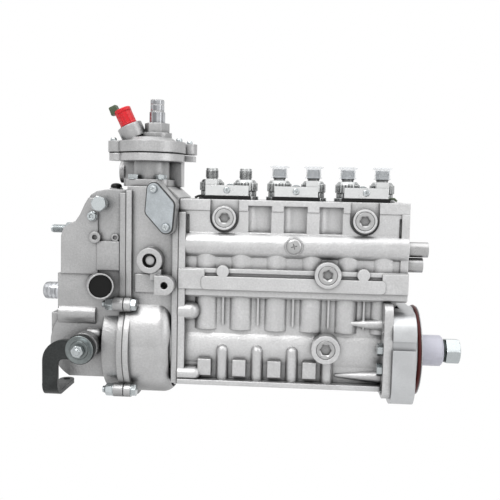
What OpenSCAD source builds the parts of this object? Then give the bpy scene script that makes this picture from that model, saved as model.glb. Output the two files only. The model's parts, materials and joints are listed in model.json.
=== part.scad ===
// In-line fuel injection pump with six elements, a flyweight governor and a boost compensator.
// The camshaft lies on the X axis and its mounting face is at X = 0. Z is up, and the open side
// of the photographed view looks along +Y.

/* [Pump housing] */
// Spacing of the six pumping elements along the camshaft
cyl_pitch = 32; // [31.5:0.5:34]
// Mounting face to the middle of the nearest element
end_gap = 28.5; // [28:0.5:31]
// Top deck above the camshaft axis
deck_z = 139; // [138:0.5:143]
// Foot of the housing below the camshaft axis
foot_drop = 30; // [29.5:0.5:34]
// Front wall of the upper block in front of the camshaft axis
front_y = 34; // [33.5:0.5:36]
// Rear wall of the upper block behind the camshaft axis
rear_y = 30; // [28:0.5:32]
// Thickness of the front and end walls of the spring chamber
wall_t = 4; // [3:0.5:4.5]
// Radius of the camshaft tunnel
cam_bore_r = 26; // [25.5:0.25:27]
// Wall of the camshaft tunnel
tunnel_wall = 8; // [7:0.5:9]
// Height of the control rack above the camshaft axis
rack_z = 97; // [96:0.5:98]

/* [Camshaft and tappets] */
// Base circle radius of the cams
base_r = 12; // [11.5:0.25:13]
// Lift of the cams
cam_lift = 8; // [6:0.5:8.5]
// Width of each cam
cam_w = 16; // [14:0.5:17]
// Radius of the bearing journals
journal_r = 10; // [9:0.25:10.5]
// Outer radius of the bearings
bearing_r = 20; // [18:0.5:21]
// Radius of the tappet rollers
roller_r = 7.5; // [6.5:0.25:8]
// Radius of the tappet bores
tappet_bore_r = 13.5; // [13.25:0.05:13.8]

/* [Pumping elements] */
// Plunger diameter
plunger_d = 9; // [7:0.5:10]
// Gear module of the control sectors and the rack
gear_m = 1.5; // [1.4:0.05:1.5]
// Number of teeth that a full control gear would have
gear_teeth = 20; // [20:1:21]
// Radius of the control rack
rack_r = 5.9; // [5.7:0.1:6.2]
// Radial running clearance of shafts and plungers
run_fit = 0.05; // [0.03:0.01:0.08]

/* [Mounting flange] */
// Thickness of the bearing cover
flange_t = 20.5; // [19:0.5:22]
// Metal of the bearing cover beyond the mounting holes, front and rear
flange_side = 12; // [11.5:0.5:15]
// Metal of the bearing cover beyond the mounting holes, top and bottom
flange_end = 15; // [14:0.5:17]
// Radius of the centring pilot
pilot_r = 41.5; // [40:0.5:41.5]
// Length of the centring pilot
pilot_len = 8; // [7:0.5:10]
// Spacing of the mounting holes, front to rear
mount_w = 88; // [87:1:92]
// Spacing of the mounting holes, bottom to top
mount_h = 54; // [52:1:55]
// Radius of the mounting holes
mount_r = 5.25; // [4.5:0.25:5.5]

/* [Governor] */
// Length of the governor housing
gov_len = 47.6; // [46:0.5:52]
// Outer radius of the governor drum
drum_r = 48; // [47:0.5:50]
// Wall of the governor castings
gov_wall = 5; // [4:0.5:5.5]
// Height of the governor housing's top above the camshaft axis
gov_top = 149.5; // [147:0.5:152]
// Length of the governor cover
cover_len = 64; // [62:0.5:68]
// Travel of the governor's sliding sleeve
sleeve_travel = 5; // [4:0.25:5]
// Thickness of the gaskets
gasket_t = 0.8; // [0.5:0.1:1]

/* [Boost compensator] */
// Radius of the diaphragm housing
comp_r = 41; // [39:0.5:42]
// Height of the neck between its base plate and the lower flange
neck_h = 17; // [15:0.5:20]
// Radius of the neck
neck_r = 16.8; // [16.5:0.1:19]
// Stroke of the boost plunger
boost_travel = 5; // [3:0.5:5.5]

/* [Control lever] */
// Height of the lever shaft above the camshaft axis
lever_z = 3; // [1:0.5:5]
// Radius of the lever shaft
lever_shaft_r = 6; // [5:0.25:7]
// Thickness of the lever plate
lever_t = 4; // [3:0.5:5]
// Width of the lever arm
lever_w = 14; // [12:0.5:16]

/* [Hidden] */
$fn = 64;

cyl_count = 6;
cyl_list = [0 : cyl_count - 1];
function cyl_x(i) = -end_gap - (cyl_count - 1 - i) * cyl_pitch;
function mid_x(i) = cyl_x(i) + cyl_pitch / 2;
pair_list = [0, 2, 4];
inner_mids = [0 : cyl_count - 2];

// Ends of the pump housing: the upper block overhangs the bearing cover
body_x0 = cyl_x(0) - 24.5;
upper_x1 = -7;
lower_x1 = -flange_t;
tunnel_r = cam_bore_r + tunnel_wall;
end_wall_t = 13;
nose_out_r = 37.5;
nose_depth = 8;
nose_x1 = lower_x1 + nose_depth;
skirt_top = 52;
flange_w = mount_w + 2 * flange_side;
flange_h = mount_h + 2 * flange_end;
seal_groove_w = 3.8;
seal_groove_d = 2.2;
seal_groove_x = pilot_len - 2.7;
// Heights of the bands on the front
rim_h = 5;
flute_z0 = 110;
panel_z0 = 58;
panel_z1 = 70;
ledge_z0 = 73;
ledge_z1 = 77;
ledge_y = front_y + 6;
panel_y = front_y + 8;

// Spring chamber behind the front wall, open at the rear
chamber_z0 = 58;
chamber_z1 = 104;
chamber_x0 = cyl_x(0) - 18.5;
chamber_x1 = cyl_x(cyl_count - 1) + 17;
shelf_z0 = 90;
shelf_t = 2.5;

// Barrel seats
seat_z = deck_z - 29;
barrel_top_z = deck_z - 13;
port_z = seat_z + 8;
barrel_r = 12.4;
barrel_low_r = 10.9;
barrel_nose_r = 7.2;
barrel_nose_z = 84;
seat_gap = 0.1;
plunger_r = plunger_d / 2 - run_fit;

// Parked tappets: rollers clear of the cam noses
park_gap = 0.3;
nose_r = 5;
roller_z = base_r + cam_lift + roller_r + park_gap;
tappet_r = tappet_bore_r - run_fit * 2;
tappet_z0 = roller_z - 1.8;
tappet_z1 = roller_z + 28.2;
crown_z1 = tappet_z1 + 4;
crown_r = 8;
plate_z0 = crown_z1;
plate_t = 3.2;
spring_wire_r = 1.3;
spring_mean_r = 11.7;

// Control gear
pinion_r = gear_m * gear_teeth / 2;
rack_y = -pinion_r - 4;
rack_cap_r = rack_r + 1.1;
rack_cap_end = 12.4;
rack_tip = 0.8 * gear_m;
gear_tip = 0.85 * gear_m;
gear_root = 1.25 * gear_m;
pressure_angle = 20;
backlash = 0.16;
tooth_pitch = gear_m * PI;
gear_z0 = rack_z - 2.8;
gear_t = 5.6;
sleeve_r = 9.8;
sleeve_z0 = 76;
sleeve_z1 = 103;

// Governor
gov_x1 = body_x0 - gasket_t;
gov_x0 = gov_x1 - gov_len;
cov_x1 = gov_x0 - gasket_t;
cov_x0 = cov_x1 - cover_len;
gov_y = front_y + 1;
gov_end_wall = 6;
drum_in_r = drum_r - gov_wall;
lever_x = cov_x1 - 35.1;
lever_y = -gov_y - 27;
hub_y = -gov_y - 17;
weight_pin_x = gov_x1 - 20;
weight_pin_z = 18;
weight_pin_r = 2.5;
weight_half_w = 12;
foot_arm = 12;
sleeve_pin_x = gov_x0 - 5;
guide_pin_r = 2.5;
guide_pivot_z = -32;
guide_pivot_x = sleeve_pin_x - sleeve_travel / 2;
guide_tilt = atan(sleeve_travel / 2 / -guide_pivot_z);
rack_ratio = (rack_z - guide_pivot_z) / -guide_pivot_z;
rack_travel = sleeve_travel * rack_ratio;
rack_pin_x = guide_pivot_x + sleeve_travel / 2 * rack_ratio;

// Compensator
comp_x = gov_x1 - 32.8;
comp_base_t = 6.5;
comp_base_z = gov_top + comp_base_t;
dish_z0 = comp_base_z + neck_h;
dish_t = 7;
dish_z1 = dish_z0 + dish_t;
diaphragm_t = 1.2;
lid_z0 = dish_z1 + diaphragm_t;
lid_z1 = lid_z0 + 14.3;

// Round bars and blocks along the axes
module bar_x(x0, x1, y, z, r) translate([x0, y, z]) rotate([0, 90, 0]) cylinder(h = x1 - x0, r = r);
module bar_y(y0, y1, x, z, r) translate([x, y0, z]) rotate([-90, 0, 0]) cylinder(h = y1 - y0, r = r);
module bar_z(z0, z1, x, y, r) translate([x, y, z0]) cylinder(h = z1 - z0, r = r);
module block(x0, x1, y0, y1, z0, z1) translate([x0, y0, z0]) cube([x1 - x0, y1 - y0, z1 - z0]);
// A flat shape drawn in Y and Z, carried along X
module prism_x(x0, x1) translate([x0, 0, 0]) rotate([90, 0, 90]) linear_extrude(x1 - x0) children();
// A flat shape drawn in X and Z, carried along Y
module prism_y(y0, y1) translate([0, y1, 0]) rotate([90, 0, 0]) linear_extrude(y1 - y0) children();
// A flat shape drawn in X and Y, carried along Z
module prism_z(z0, z1) translate([0, 0, z0]) linear_extrude(z1 - z0) children();
// A profile of radius and distance, turned about the X axis
module turned_x(x0) translate([x0, 0, 0]) rotate([0, 90, 0]) rotate_extrude() children();

// Rectangle with round corners, centred
module round_rect(w, h, r) {
    square([w - 2 * r, h], center = true);
    square([w, h - 2 * r], center = true);
    for (sx = [-1, 1], sy = [-1, 1])
        translate([sx * (w / 2 - r), sy * (h / 2 - r)]) circle(r);
}

// Slot with round ends between two points
module slot(p, q, r) {
    along = [q[0] - p[0], q[1] - p[1]];
    len = norm(along);
    translate(p) circle(r);
    translate(q) circle(r);
    translate(p) rotate(atan2(along[1], along[0])) translate([0, -r]) square([len, 2 * r]);
}

// Hexagon across flats
module hexagon(af) circle(r = af / 2 / cos(30), $fn = 6);

// Screw head with a hexagon, on an axis along X, head towards -X when flip is set
module hex_x(x0, x1, y, z, af) translate([x0, y, z]) rotate([0, 90, 0]) linear_extrude(x1 - x0) hexagon(af);
module hex_y(y0, y1, x, z, af) translate([x, y1, z]) rotate([90, 0, 0]) linear_extrude(y1 - y0) hexagon(af);
module hex_z(z0, z1, x, y, af) translate([x, y, z0]) linear_extrude(z1 - z0) hexagon(af);

// Coil spring along Z: a round wire swept along a helix
module coil(mean_r, wire_r, z0, z1, turns, steps, sides) {
    rise = (z1 - z0 - 2 * wire_r) / turns;
    count = turns * steps;
    ring = function(k) [for (s = [0 : sides - 1])
        let (a = 360 * k / steps, b = 360 * s / sides, r = mean_r + wire_r * cos(b))
        [r * cos(a), r * sin(a), z0 + wire_r + rise * k / steps + wire_r * sin(b)]];
    points = [for (k = [0 : count]) each ring(k)];
    walls = [for (k = [0 : count - 1], s = [0 : sides - 1])
        let (a = k * sides + s, b = k * sides + (s + 1) % sides)
        [a, a + sides, b + sides, b]];
    first_end = [for (s = [0 : sides - 1]) s];
    last_end = [for (s = [sides - 1 : -1 : 0]) count * sides + s];
    polyhedron(points, concat(walls, [first_end, last_end]), convexity = 6);
}

// Front of the pump housing
plug_a_z = 122.4;
plug_c_z = 74;
plug_d_z = 6.9;
boss_a_r = 10.7;
boss_c_r = 11.8;
boss_d_r = 12.8;
boss_a_y = front_y + 4;
boss_c_y = front_y + 12;
boss_d_y = front_y + 12;
plug_r = 8.6;
plug_t = 5;
guide_boss_r = 6.8;
tunnel_bulge_r = 13;
tunnel_bulge_y = front_y + 6 - tunnel_bulge_r;
rib_r = 5.5;
end_boss_r = 6.2;
foot_y = 42;
foot_t = 4.5;
flange_plate_t = 7.5;
flange_plate_w = 104;
flange_plate_z0 = -35;
flange_plate_z1 = 50;

// The plugs at the middle and at the flange end stand a little to the left of the midpoints
upper_plugs = [mid_x(0), mid_x(4) - 2.2];
lower_plug_x = mid_x(3) - 1.9;
guide_x = mid_x(2) - 0.6;
guide_z = rack_z + 1.7;

module housing_flutes() {
    flute_r = 12.2;
    flute_depth = 6;
    for (i = [1, 2, 3])
        bar_z(flute_z0, deck_z - rim_h, mid_x(i), -front_y - flute_r + flute_depth, flute_r);
}

module boss_pockets() {
    pocket_depth = 3.5;
    pocket_r = 13;
    for (x = upper_plugs) {
        bar_y(-front_y - 1, -front_y + pocket_depth, x, plug_a_z, pocket_r);
        block(x - pocket_r, x + pocket_r, -front_y - 1, -front_y + pocket_depth, plug_a_z, deck_z + 1);
    }
}

module front_bosses() {
    for (x = upper_plugs) bar_y(-boss_a_y, -front_y + 6, x, plug_a_z, boss_a_r);
    bar_y(-boss_c_y, -front_y + 2, lower_plug_x, plug_c_z, boss_c_r);
    bar_y(-boss_d_y, -20, lower_plug_x, plug_d_z, boss_d_r);
    pad_r = 5.6;
    for (x = upper_plugs) bar_y(-ledge_y - 2, -front_y + 2, x, ledge_z1 - 2.5, pad_r);
    bar_y(-ledge_y - 1.5, -tunnel_bulge_y, guide_x, guide_z, guide_boss_r + 1.2);
}

module scallops() {
    // Round walls of the spring chamber below the rack tunnel and of the tappet bores
    spring_wall_r = 15;
    tappet_wall_r = 13.8;
    vein_r = 1.3;
    for (i = cyl_list) {
        bar_z(ledge_z1 - 1, 91, cyl_x(i), -front_y + spring_wall_r - 3, spring_wall_r);
        intersection() {
            bar_z(20, skirt_top + 1, cyl_x(i), -front_y + tappet_wall_r - 0.5, tappet_wall_r);
            block(body_x0, lower_x1 - 1, -front_y - 5, 0, 10, skirt_top + 2);
        }
    }
    for (i = inner_mids) bar_z(24, skirt_top + 1, mid_x(i), -front_y + 1.2, vein_r);
}

module lower_ribs() {
    pad_w = 12;
    for (i = [0 : 3]) {
        bar_z(-foot_drop + foot_t - 1, 1, mid_x(i), -front_y + 1, rib_r);
        translate([mid_x(i), -front_y + 1, 1]) sphere(rib_r);
    }
    for (i = [0 : 3])
        block(cyl_x(i) - pad_w / 2, cyl_x(i) + pad_w / 2, -front_y - 4, -12, -22, -7);
}

module end_bosses() {
    // Screw bosses with round ends at the governor end, tapered ribs at the flange end
    upper_z = 36.7;
    upper_r = 8.3;
    lower_z = -21;
    bar_x(body_x0, body_x0 + 11, -front_y + 1, upper_z, upper_r);
    translate([body_x0 + 11, -front_y + 1, upper_z]) sphere(upper_r);
    bar_x(body_x0, body_x0 + 15, -front_y - 2, lower_z, end_boss_r);
    translate([body_x0 + 15, -front_y - 2, lower_z]) sphere(end_boss_r);
    taper_end = -flange_t - flange_plate_t + 1;
    for (b = [[29.3, 31], [-19, 42]])
        translate([taper_end - b[1], -front_y + 2, b[0]]) rotate([0, 90, 0])
            cylinder(h = b[1], r1 = 1.5, r2 = end_boss_r);
}

module housing_body() {
    block(body_x0, upper_x1, -front_y, rear_y, skirt_top - 2, deck_z);
    prism_x(body_x0, lower_x1) {
        intersection() {
            circle(tunnel_r);
            translate([-tunnel_r - 1, -foot_drop]) square(2 * tunnel_r + 2);
        }
        translate([-front_y + 4, 0]) square([front_y + rear_y - 4, skirt_top]);
        translate([-front_y + 2, -foot_drop]) square([front_y + rear_y - 4, foot_drop]);
        translate([-foot_y, -foot_drop]) square([2 * foot_y - 8, foot_t]);
    }
    deck_band = 0.8;
    block(body_x0, upper_x1, -front_y - deck_band, -front_y + 1, deck_z - 10, deck_z);
    block(body_x0, upper_x1, -ledge_y, -front_y + 1, ledge_z0, ledge_z1);
    block(body_x0, upper_x1, -front_y - 4, -front_y + 1, ledge_z0 - 4, ledge_z0 + 1);
    block(body_x0, upper_x1, -front_y - 4.5, -front_y + 1, skirt_top, panel_z0 + 1);
    panel_x0 = body_x0 + 21;
    panel_x1 = -27;
    translate([(panel_x0 + panel_x1) / 2, 0, (panel_z0 + panel_z1) / 2]) prism_y(-panel_y, -front_y + 1)
        round_rect(panel_x1 - panel_x0, panel_z1 - panel_z0, 4);
    for (x = [[body_x0, panel_x0 + 3], [panel_x1 - 3, upper_x1]])
        block(x[0], x[1], -panel_y + 1, -front_y + 1, panel_z0, ledge_z1 - 1);
    bar_x(body_x0, upper_x1, -tunnel_bulge_y, rack_z + 1, tunnel_bulge_r);
    translate([0, 0, (flange_plate_z0 + flange_plate_z1) / 2]) prism_x(lower_x1 - flange_plate_t, lower_x1)
        round_rect(flange_plate_w, flange_plate_z1 - flange_plate_z0, 8);
    // Round nose that the bearing cover fits over, and the wall of the last tappet bore
    bar_x(lower_x1 - 1, nose_x1, 0, 0, nose_out_r);
    bar_z(30, skirt_top, cyl_x(cyl_count - 1), 0, tappet_bore_r + wall_t);
    gov_flange_t = 6;
    block(body_x0, body_x0 + gov_flange_t, -gov_y - 5, rear_y, -foot_drop, deck_z - 12);
    end_rim_t = 7;
    block(upper_x1 - end_rim_t, upper_x1, -front_y - 1.5, -front_y + 1, skirt_top, deck_z - 10);
}

module housing_cuts() {
    bar_x(body_x0 + end_wall_t, nose_x1 + 1, 0, 0, cam_bore_r);
    bar_x(body_x0 - 1, body_x0 + end_wall_t + 1, 0, 0, bearing_r);
    block(base_x0 + base_lip, base_x1 - base_lip, -15, 15, -foot_drop - 1, -cam_bore_r + 6);
    block(chamber_x0, chamber_x1, -front_y + wall_t, rear_y + 1, chamber_z0, shelf_z0);
    block(chamber_x0, chamber_x1, -front_y + wall_t, rear_y + 1, shelf_z0 + shelf_t, chamber_z1);
    for (i = cyl_list) {
        bar_z(0, chamber_z0 + 1, cyl_x(i), 0, tappet_bore_r);
        bar_z(shelf_z0 - 1, shelf_z0 + shelf_t + 1, cyl_x(i), 0, sleeve_r + 1.2);
        bar_z(chamber_z1 - 1, seat_z + 1, cyl_x(i), 0, barrel_low_r + seat_gap);
        bar_z(seat_z, deck_z + 1, cyl_x(i), 0, barrel_r + seat_gap);
    }
    bar_x(body_x0 - 1, upper_x1 + 1, rack_y, rack_z, rack_r + run_fit);
    gallery_r = 3.5;
    bar_x(chamber_x0, chamber_x1, -12, port_z, gallery_r);
    for (x = upper_plugs) {
        bar_y(-boss_a_y - 1, -boss_a_y + plug_t, x, plug_a_z, plug_r);
        bar_y(-boss_a_y, -12, x, plug_a_z, 5);
    }
    bar_y(-boss_c_y - 1, -boss_c_y + plug_t, lower_plug_x, plug_c_z, plug_r);
    bar_y(-boss_c_y, -front_y + wall_t + 1, lower_plug_x, plug_c_z, 5);
    bar_y(-boss_d_y - 1, -boss_d_y + plug_t, lower_plug_x, plug_d_z, plug_r);
    bar_y(-boss_d_y, -20, lower_plug_x, plug_d_z, 5);
    bar_y(-ledge_y - 2.5, -front_y + wall_t + 1, guide_x, guide_z, 3);
    slot_w = 3;
    for (x = [upper_x1 - 8.9, body_x0 + 5.5])
        block(x, x + slot_w, -front_y - 1, -front_y + 2, 107, 125);
    // Recess in the foot for the base cover
    block(base_x0 - 0.3, base_x1 + 0.3, -base_half - 0.3, base_half + 0.3, -foot_drop - 1, -foot_drop + base_t + gasket_t);
    for (sy = [-1, 1], sz = [-1, 1])
        bar_x(lower_x1 - flange_plate_t - 1, lower_x1 + 1, sy * mount_w / 2, sz * mount_h / 2, mount_r);
}

module pump_housing() color("gainsboro") difference() {
    union() {
        difference() {
            housing_body();
            housing_flutes();
            boss_pockets();
        }
        front_bosses();
        scallops();
        lower_ribs();
        end_bosses();
    }
    housing_cuts();
}

// Plate that closes the camshaft tunnel from below, in a recess of the foot
base_x0 = body_x0 + end_wall_t - 2;
base_x1 = lower_x1 - flange_plate_t - 1;
base_lip = 8;
base_half = 22;
base_t = 3;
module base_cover() color("silver") {
    head_t = 2;
    block(base_x0, base_x1, -base_half, base_half, -foot_drop, -foot_drop + base_t);
    for (i = inner_mids, sy = [-1, 1])
        hex_z(-foot_drop - head_t, -foot_drop + 1, mid_x(i), sy * (base_half - 4), 8);
}

// Cover with the drive-end bearing: it carries the centring pilot and the mounting holes
module drive_flange() color("silver") difference() {
    notch_z = 15;
    spigot = 2.4;
    nose_gap = 0.3;
    tappet_side = tappet_bore_r + wall_t + nose_gap;
    union() {
        prism_x(-flange_t, 0) round_rect(flange_w, flange_h, 22);
        bar_x(-1, pilot_len, 0, 0, pilot_r);
    }
    difference() {
        bar_x(-flange_t - 1, nose_x1, 0, 0, nose_out_r + nose_gap);
        bar_x(nose_x1 - spigot, nose_x1 + 1, 0, 0, cam_bore_r - run_fit);
    }
    block(-flange_t - 1, cyl_x(cyl_count - 1) + tappet_side, -tappet_side, tappet_side, 20, flange_h / 2 + 1);
    bar_x(nose_x1 - spigot - 1, right_bearing_x + ring_w, 0, 0, bearing_r);
    bar_x(-flange_t, pilot_len + 1, 0, 0, journal_r + 4);
    bar_x(pilot_len - 7, pilot_len + 1, 0, 0, seal_r);
    turned_x(seal_groove_x) translate([pilot_r - seal_groove_d, -seal_groove_w / 2])
        square([seal_groove_d + 1, seal_groove_w]);
    block(-flange_t - 1, 1, -flange_w / 2 - 1, -flange_w / 2 + 5, notch_z - 4, notch_z + 4);
    for (sy = [-1, 1], sz = [-1, 1])
        bar_x(-flange_t - 1, 1, sy * mount_w / 2, sz * mount_h / 2, mount_r);
}

// Seal in the pilot's groove, pressed flush by the bore that the pilot goes into
module pilot_seal() color("firebrick") turned_x(seal_groove_x)
    translate([pilot_r - seal_groove_d + seat_gap, -seal_groove_w / 2 + seat_gap])
        square([seal_groove_d - seat_gap - run_fit, seal_groove_w - 2 * seat_gap]);

// Screws that hold the bearing cover to the housing, from inside the corner notches
module flange_screws() color("slategray") for (sy = [-1, 1], sz = [-1, 1])
    hex_x(lower_x1 - flange_plate_t - 5, lower_x1 - flange_plate_t, sy * mount_w / 2, sz * 9, 10);

seal_r = 18;
module shaft_seal() color("dimgray") turned_x(pilot_len - 6.5) difference() {
    translate([journal_r + run_fit, 0]) square([seal_r - journal_r - run_fit, 6]);
    translate([journal_r + 2, -1]) square([seal_r - journal_r - 4, 4]);
}

// Bearings: outer rings in the castings, inner rings with rollers on the shaft
ring_w = 11;
ring_t = 3.2;
inner_ring_r = journal_r + 3;
left_bearing_x = body_x0 + 1;
right_bearing_x = nose_x1 + 0.2;
module bearing_outer(x) turned_x(x) difference() {
    translate([bearing_r - ring_t, 0]) square([ring_t, ring_w]);
    translate([bearing_r - ring_t - 1, 1.5]) square([1 + 0.8, ring_w - 3]);
}
module bearing_rings() color("darkgray") {
    bearing_outer(left_bearing_x);
    bearing_outer(right_bearing_x);
}
module roller_set(x) {
    race_gap = 0.06;
    roll_r = (bearing_r - ring_t + 0.8 - inner_ring_r) / 2 - race_gap;
    roll_mid = inner_ring_r + roll_r;
    roll_w = ring_w - 3.4;
    turned_x(x) translate([journal_r, 0]) square([inner_ring_r - journal_r, ring_w]);
    for (a = [0 : 30 : 330]) rotate([a, 0, 0]) bar_x(x + 1.7, x + 1.7 + roll_w, 0, roll_mid - 0.02, roll_r);
}
module bearing_rollers() color("lightsteelblue") {
    roller_set(left_bearing_x);
    roller_set(right_bearing_x);
}

// Camshaft, with one cam for each element in firing order
cam_angles = [0, 240, 120, 300, 60, 180];
shaft_end_x = 50;
taper_x0 = pilot_len;
taper_x1 = taper_x0 + 25;
thread_r = 6;
carrier_x0 = weight_pin_x + 6;
carrier_x1 = carrier_x0 + 5;
carrier_bore_r = 7;
guide_stub_r = 4.5;
module cam(x, a) rotate([a, 0, 0]) prism_x(x - cam_w / 2, x + cam_w / 2) {
    reach = base_r + cam_lift - nose_r;
    lean = asin((base_r - nose_r) / reach);
    side = 0.985;
    circle(base_r);
    translate([0, reach]) circle(nose_r);
    polygon([
        [-base_r * cos(lean) * side, base_r * sin(lean)],
        [base_r * cos(lean) * side, base_r * sin(lean)],
        [nose_r * cos(lean) * side, reach + nose_r * sin(lean)],
        [-nose_r * cos(lean) * side, reach + nose_r * sin(lean)]
    ]);
}
module camshaft() color("lightslategray") {
    core_r = 11;
    bar_x(body_x0 + end_wall_t, nose_x1 - 0.5, 0, 0, core_r);
    for (i = cyl_list) cam(cyl_x(i), cam_angles[i]);
    bar_x(body_x0 - 3, body_x0 + end_wall_t + 1, 0, 0, journal_r);
    bar_x(nose_x1 - 1.5, taper_x0, 0, 0, journal_r);
    translate([taper_x0 - 0.01, 0, 0]) rotate([0, 90, 0])
        cylinder(h = taper_x1 - taper_x0, r1 = journal_r, r2 = journal_r - 2);
    bar_x(taper_x1 - 1, shaft_end_x, 0, 0, thread_r);
    bar_x(carrier_x0, body_x0, 0, 0, carrier_bore_r);
    bar_x(sleeve_pin_x + 4.5, carrier_x0 + 1, 0, 0, guide_stub_r);
}

module drive_nut() color("lightgray") difference() {
    nut_x0 = taper_x1 + 3;
    union() {
        hex_x(nut_x0, nut_x0 + 12.8, 0, 0, 22);
        bar_x(nut_x0 - 3, nut_x0, 0, 0, 11);
    }
    bar_x(nut_x0 - 4, shaft_end_x + 1, 0, 0, thread_r + run_fit);
}

// Plastic sleeve that protects the taper in transport
module taper_sleeve() color("thistle") difference() {
    sleeve_out_r = 14.6;
    union() {
        bar_x(pilot_len + 0.5, taper_x1 - 2, 0, 0, sleeve_out_r);
        translate([taper_x1 - 2, 0, 0]) rotate([0, 90, 0]) cylinder(h = 2, r1 = sleeve_out_r, r2 = sleeve_out_r - 2);
    }
    translate([pilot_len - 1, 0, 0]) rotate([0, 90, 0]) cylinder(h = 27, r1 = journal_r + 0.2, r2 = journal_r - 1.7);
}

// Governor housing: a drum round the flyweights under a box for the linkage
cov_screws = [[-43, 42], [43, 42], [-41, -38], [41, -38]];
lug_left = 9;
lug_right = 6;
drum_len = gov_len - 4.6;
drum_rise = 8;
module drum_shape() {
    shoulder = 12.4;
    difference() {
        union() {
            square([drum_r - shoulder, drum_len]);
            square([drum_r, drum_len - shoulder]);
            translate([drum_r - shoulder, drum_len - shoulder]) circle(shoulder);
        }
        translate([-drum_r, -1]) square([drum_r, drum_len + 4]);
    }
}
pad_x = gov_x1 - 13.5;
pad_z = 130.5;
pad_y = -gov_y - 20;
pad_lean = 18.7;
module diamond(half_w, half_h, tip_r) hull() {
    for (s = [-1, 1]) translate([0, s * (half_h - tip_r)]) circle(tip_r, $fn = 32);
    for (s = [-1, 1]) translate([s * (half_w - tip_r), 0]) circle(tip_r, $fn = 32);
}
module governor_box() {
    // The top corner next to the pump housing is cut off
    corner_x = 11;
    corner_z = 9.5;
    prism_y(-gov_y, gov_y) polygon([
        [gov_x0, 0], [gov_x1, 0], [gov_x1, gov_top - corner_z], [gov_x1 - corner_x, gov_top], [gov_x0, gov_top]
    ]);
}
module governor_housing() color("lightgray") difference() {
    joint_t = 5;
    joint_r = drum_r + 4;
    union() {
        governor_box();
        turned_x(gov_x0) drum_shape();
        translate([0, 0, drum_rise]) turned_x(gov_x0) drum_shape();
        turned_x(gov_x0) square([joint_r, joint_t]);
        block(gov_x0, gov_x0 + joint_t, -gov_y - 4, gov_y + 4, 0, gov_top - 4);
        block(gov_x1 - joint_t, gov_x1, -gov_y - 5, rear_y, -foot_drop, deck_z - 6);
        translate([pad_x, 0, pad_z]) rotate([0, -pad_lean, 0]) prism_y(pad_y, -gov_y + 2) diamond(14.4, 24.4, 6.6);
        arm_boss();
        for (s = cov_screws) bar_x(gov_x0, gov_x0 + lug_right, s[0], s[1], 6.2);
    }
    drum_bore();
    bar_x(gov_x1 - gov_end_wall - 1, gov_x1 + 1, 0, 0, 24);
    bar_x(gov_x1 - gov_end_wall - 1, gov_x1 + 1, rack_y, rack_z, rack_r + 1.5);
    bar_z(gov_top - gov_wall - 1, gov_top + 1, comp_x, 0, 8);
    bar_y(pad_y - 1, -gov_y + gov_wall + 1, pad_x, pad_z, 8);
    bar_y(lug_y - 1, -gov_y + 1, lug_x, lug_z, 3.3);
}
module drum_bore() {
    turned_x(gov_x0 - 1) square([drum_in_r, gov_len - gov_end_wall + 1]);
    block(gov_x0 - 1, gov_x1 - gov_end_wall, -gov_y + gov_wall, gov_y - gov_wall, 0, gov_top - gov_wall);
}

// Bracket boss and lug on the front of the governor housing
lug_x = gov_x1 - 10;
lug_z = 61.5;
lug_y = -gov_y - 17;
module arm_boss() {
    ring_x = gov_x1 - 24.5;
    ring_z = 83;
    ring_y = -gov_y - 12;
    difference() {
        bar_y(ring_y, -gov_y + 1, ring_x, ring_z, 11.5);
        bar_y(ring_y - 1, -gov_y - 2, ring_x, ring_z, 6.5);
    }
    bar_y(ring_y + 3, -gov_y + 1, ring_x, ring_z, 4);
    lug_r = 8.8;
    bar_y(lug_y, -gov_y + 1, lug_x, lug_z, lug_r);
    block(lug_x - 9, lug_x, lug_y, -gov_y + 1, lug_z - lug_r, lug_z + lug_r);
    block(lug_x - 14, lug_x - 4, lug_y + 6, -gov_y + 1, lug_z + 4, ring_z - 8);
    block(gov_x0 + 8, lug_x - 8, -gov_y - 2, -gov_y + 1, lug_z - lug_r, lug_z + 8);
}

module housing_gasket() color("dimgray") difference() {
    block(gov_x1, body_x0, -gov_y - 5, rear_y, -foot_drop, deck_z - 12);
    bar_x(gov_x1 - 1, body_x0 + 1, 0, 0, 24);
    bar_x(gov_x1 - 1, body_x0 + 1, rack_y, rack_z, rack_r + 1.5);
}

// Governor cover: its outline in X and Z slopes down to the left
cover_top = gov_top - 3.5;
cover_foot = -28;
lever_arc_r = 36;
// The upper part stands further to the right than the part below the step
upper_left = cov_x0 + 3.5;
step_z = 68.2;
// Corners of the slope: to the right of the cover's left end, and down from its top
slope_points = [[3.8, 43.3], [5.8, 35.8], [11.1, 32.5], [17.5, 29.3], [21.7, 23], [26, 13.5], [31.2, 5.1], [36.5, 1.9]];
module cover_outline(g) {
    slope = [for (q = slope_points) [cov_x0 + q[0] + g, cover_top - q[1] - g / 2]];
    polygon(concat(
        [[cov_x1, lever_z], [cov_x0 + g, lever_z], [cov_x0 + g, step_z - g], [upper_left + g, step_z - g + 1]],
        slope,
        [[cov_x0 + 44.9 + g, cover_top - g], [cov_x1, cover_top - g]]
    ));
    intersection() {
        translate([lever_x, lever_z]) circle(lever_arc_r - g);
        translate([cov_x0 - 12, cover_foot + g]) square([cov_x1 - cov_x0 + 12, 60]);
    }
    translate([lever_x, cover_foot + g]) square([cov_x1 - lever_x, 40]);
}
tube_base = [cov_x1 - 26.8, -gov_y + 2, 57.5];
tube_len = 33;
tube_r = 11.4;
tube_bore_r = tube_r - 1.3;
module tube_axis() translate(tube_base) rotate([90 - 6, 0, 20]) children();
stop_z = 107;
stop_x = cov_x0 + 1.5;
stop_screw_r = 4;
idle_z = 46.4;
idle_bore_r = 6.5;
filler_x = cov_x1 - 24;
filler_y = 20;
filler_bore_r = 4;
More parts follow.
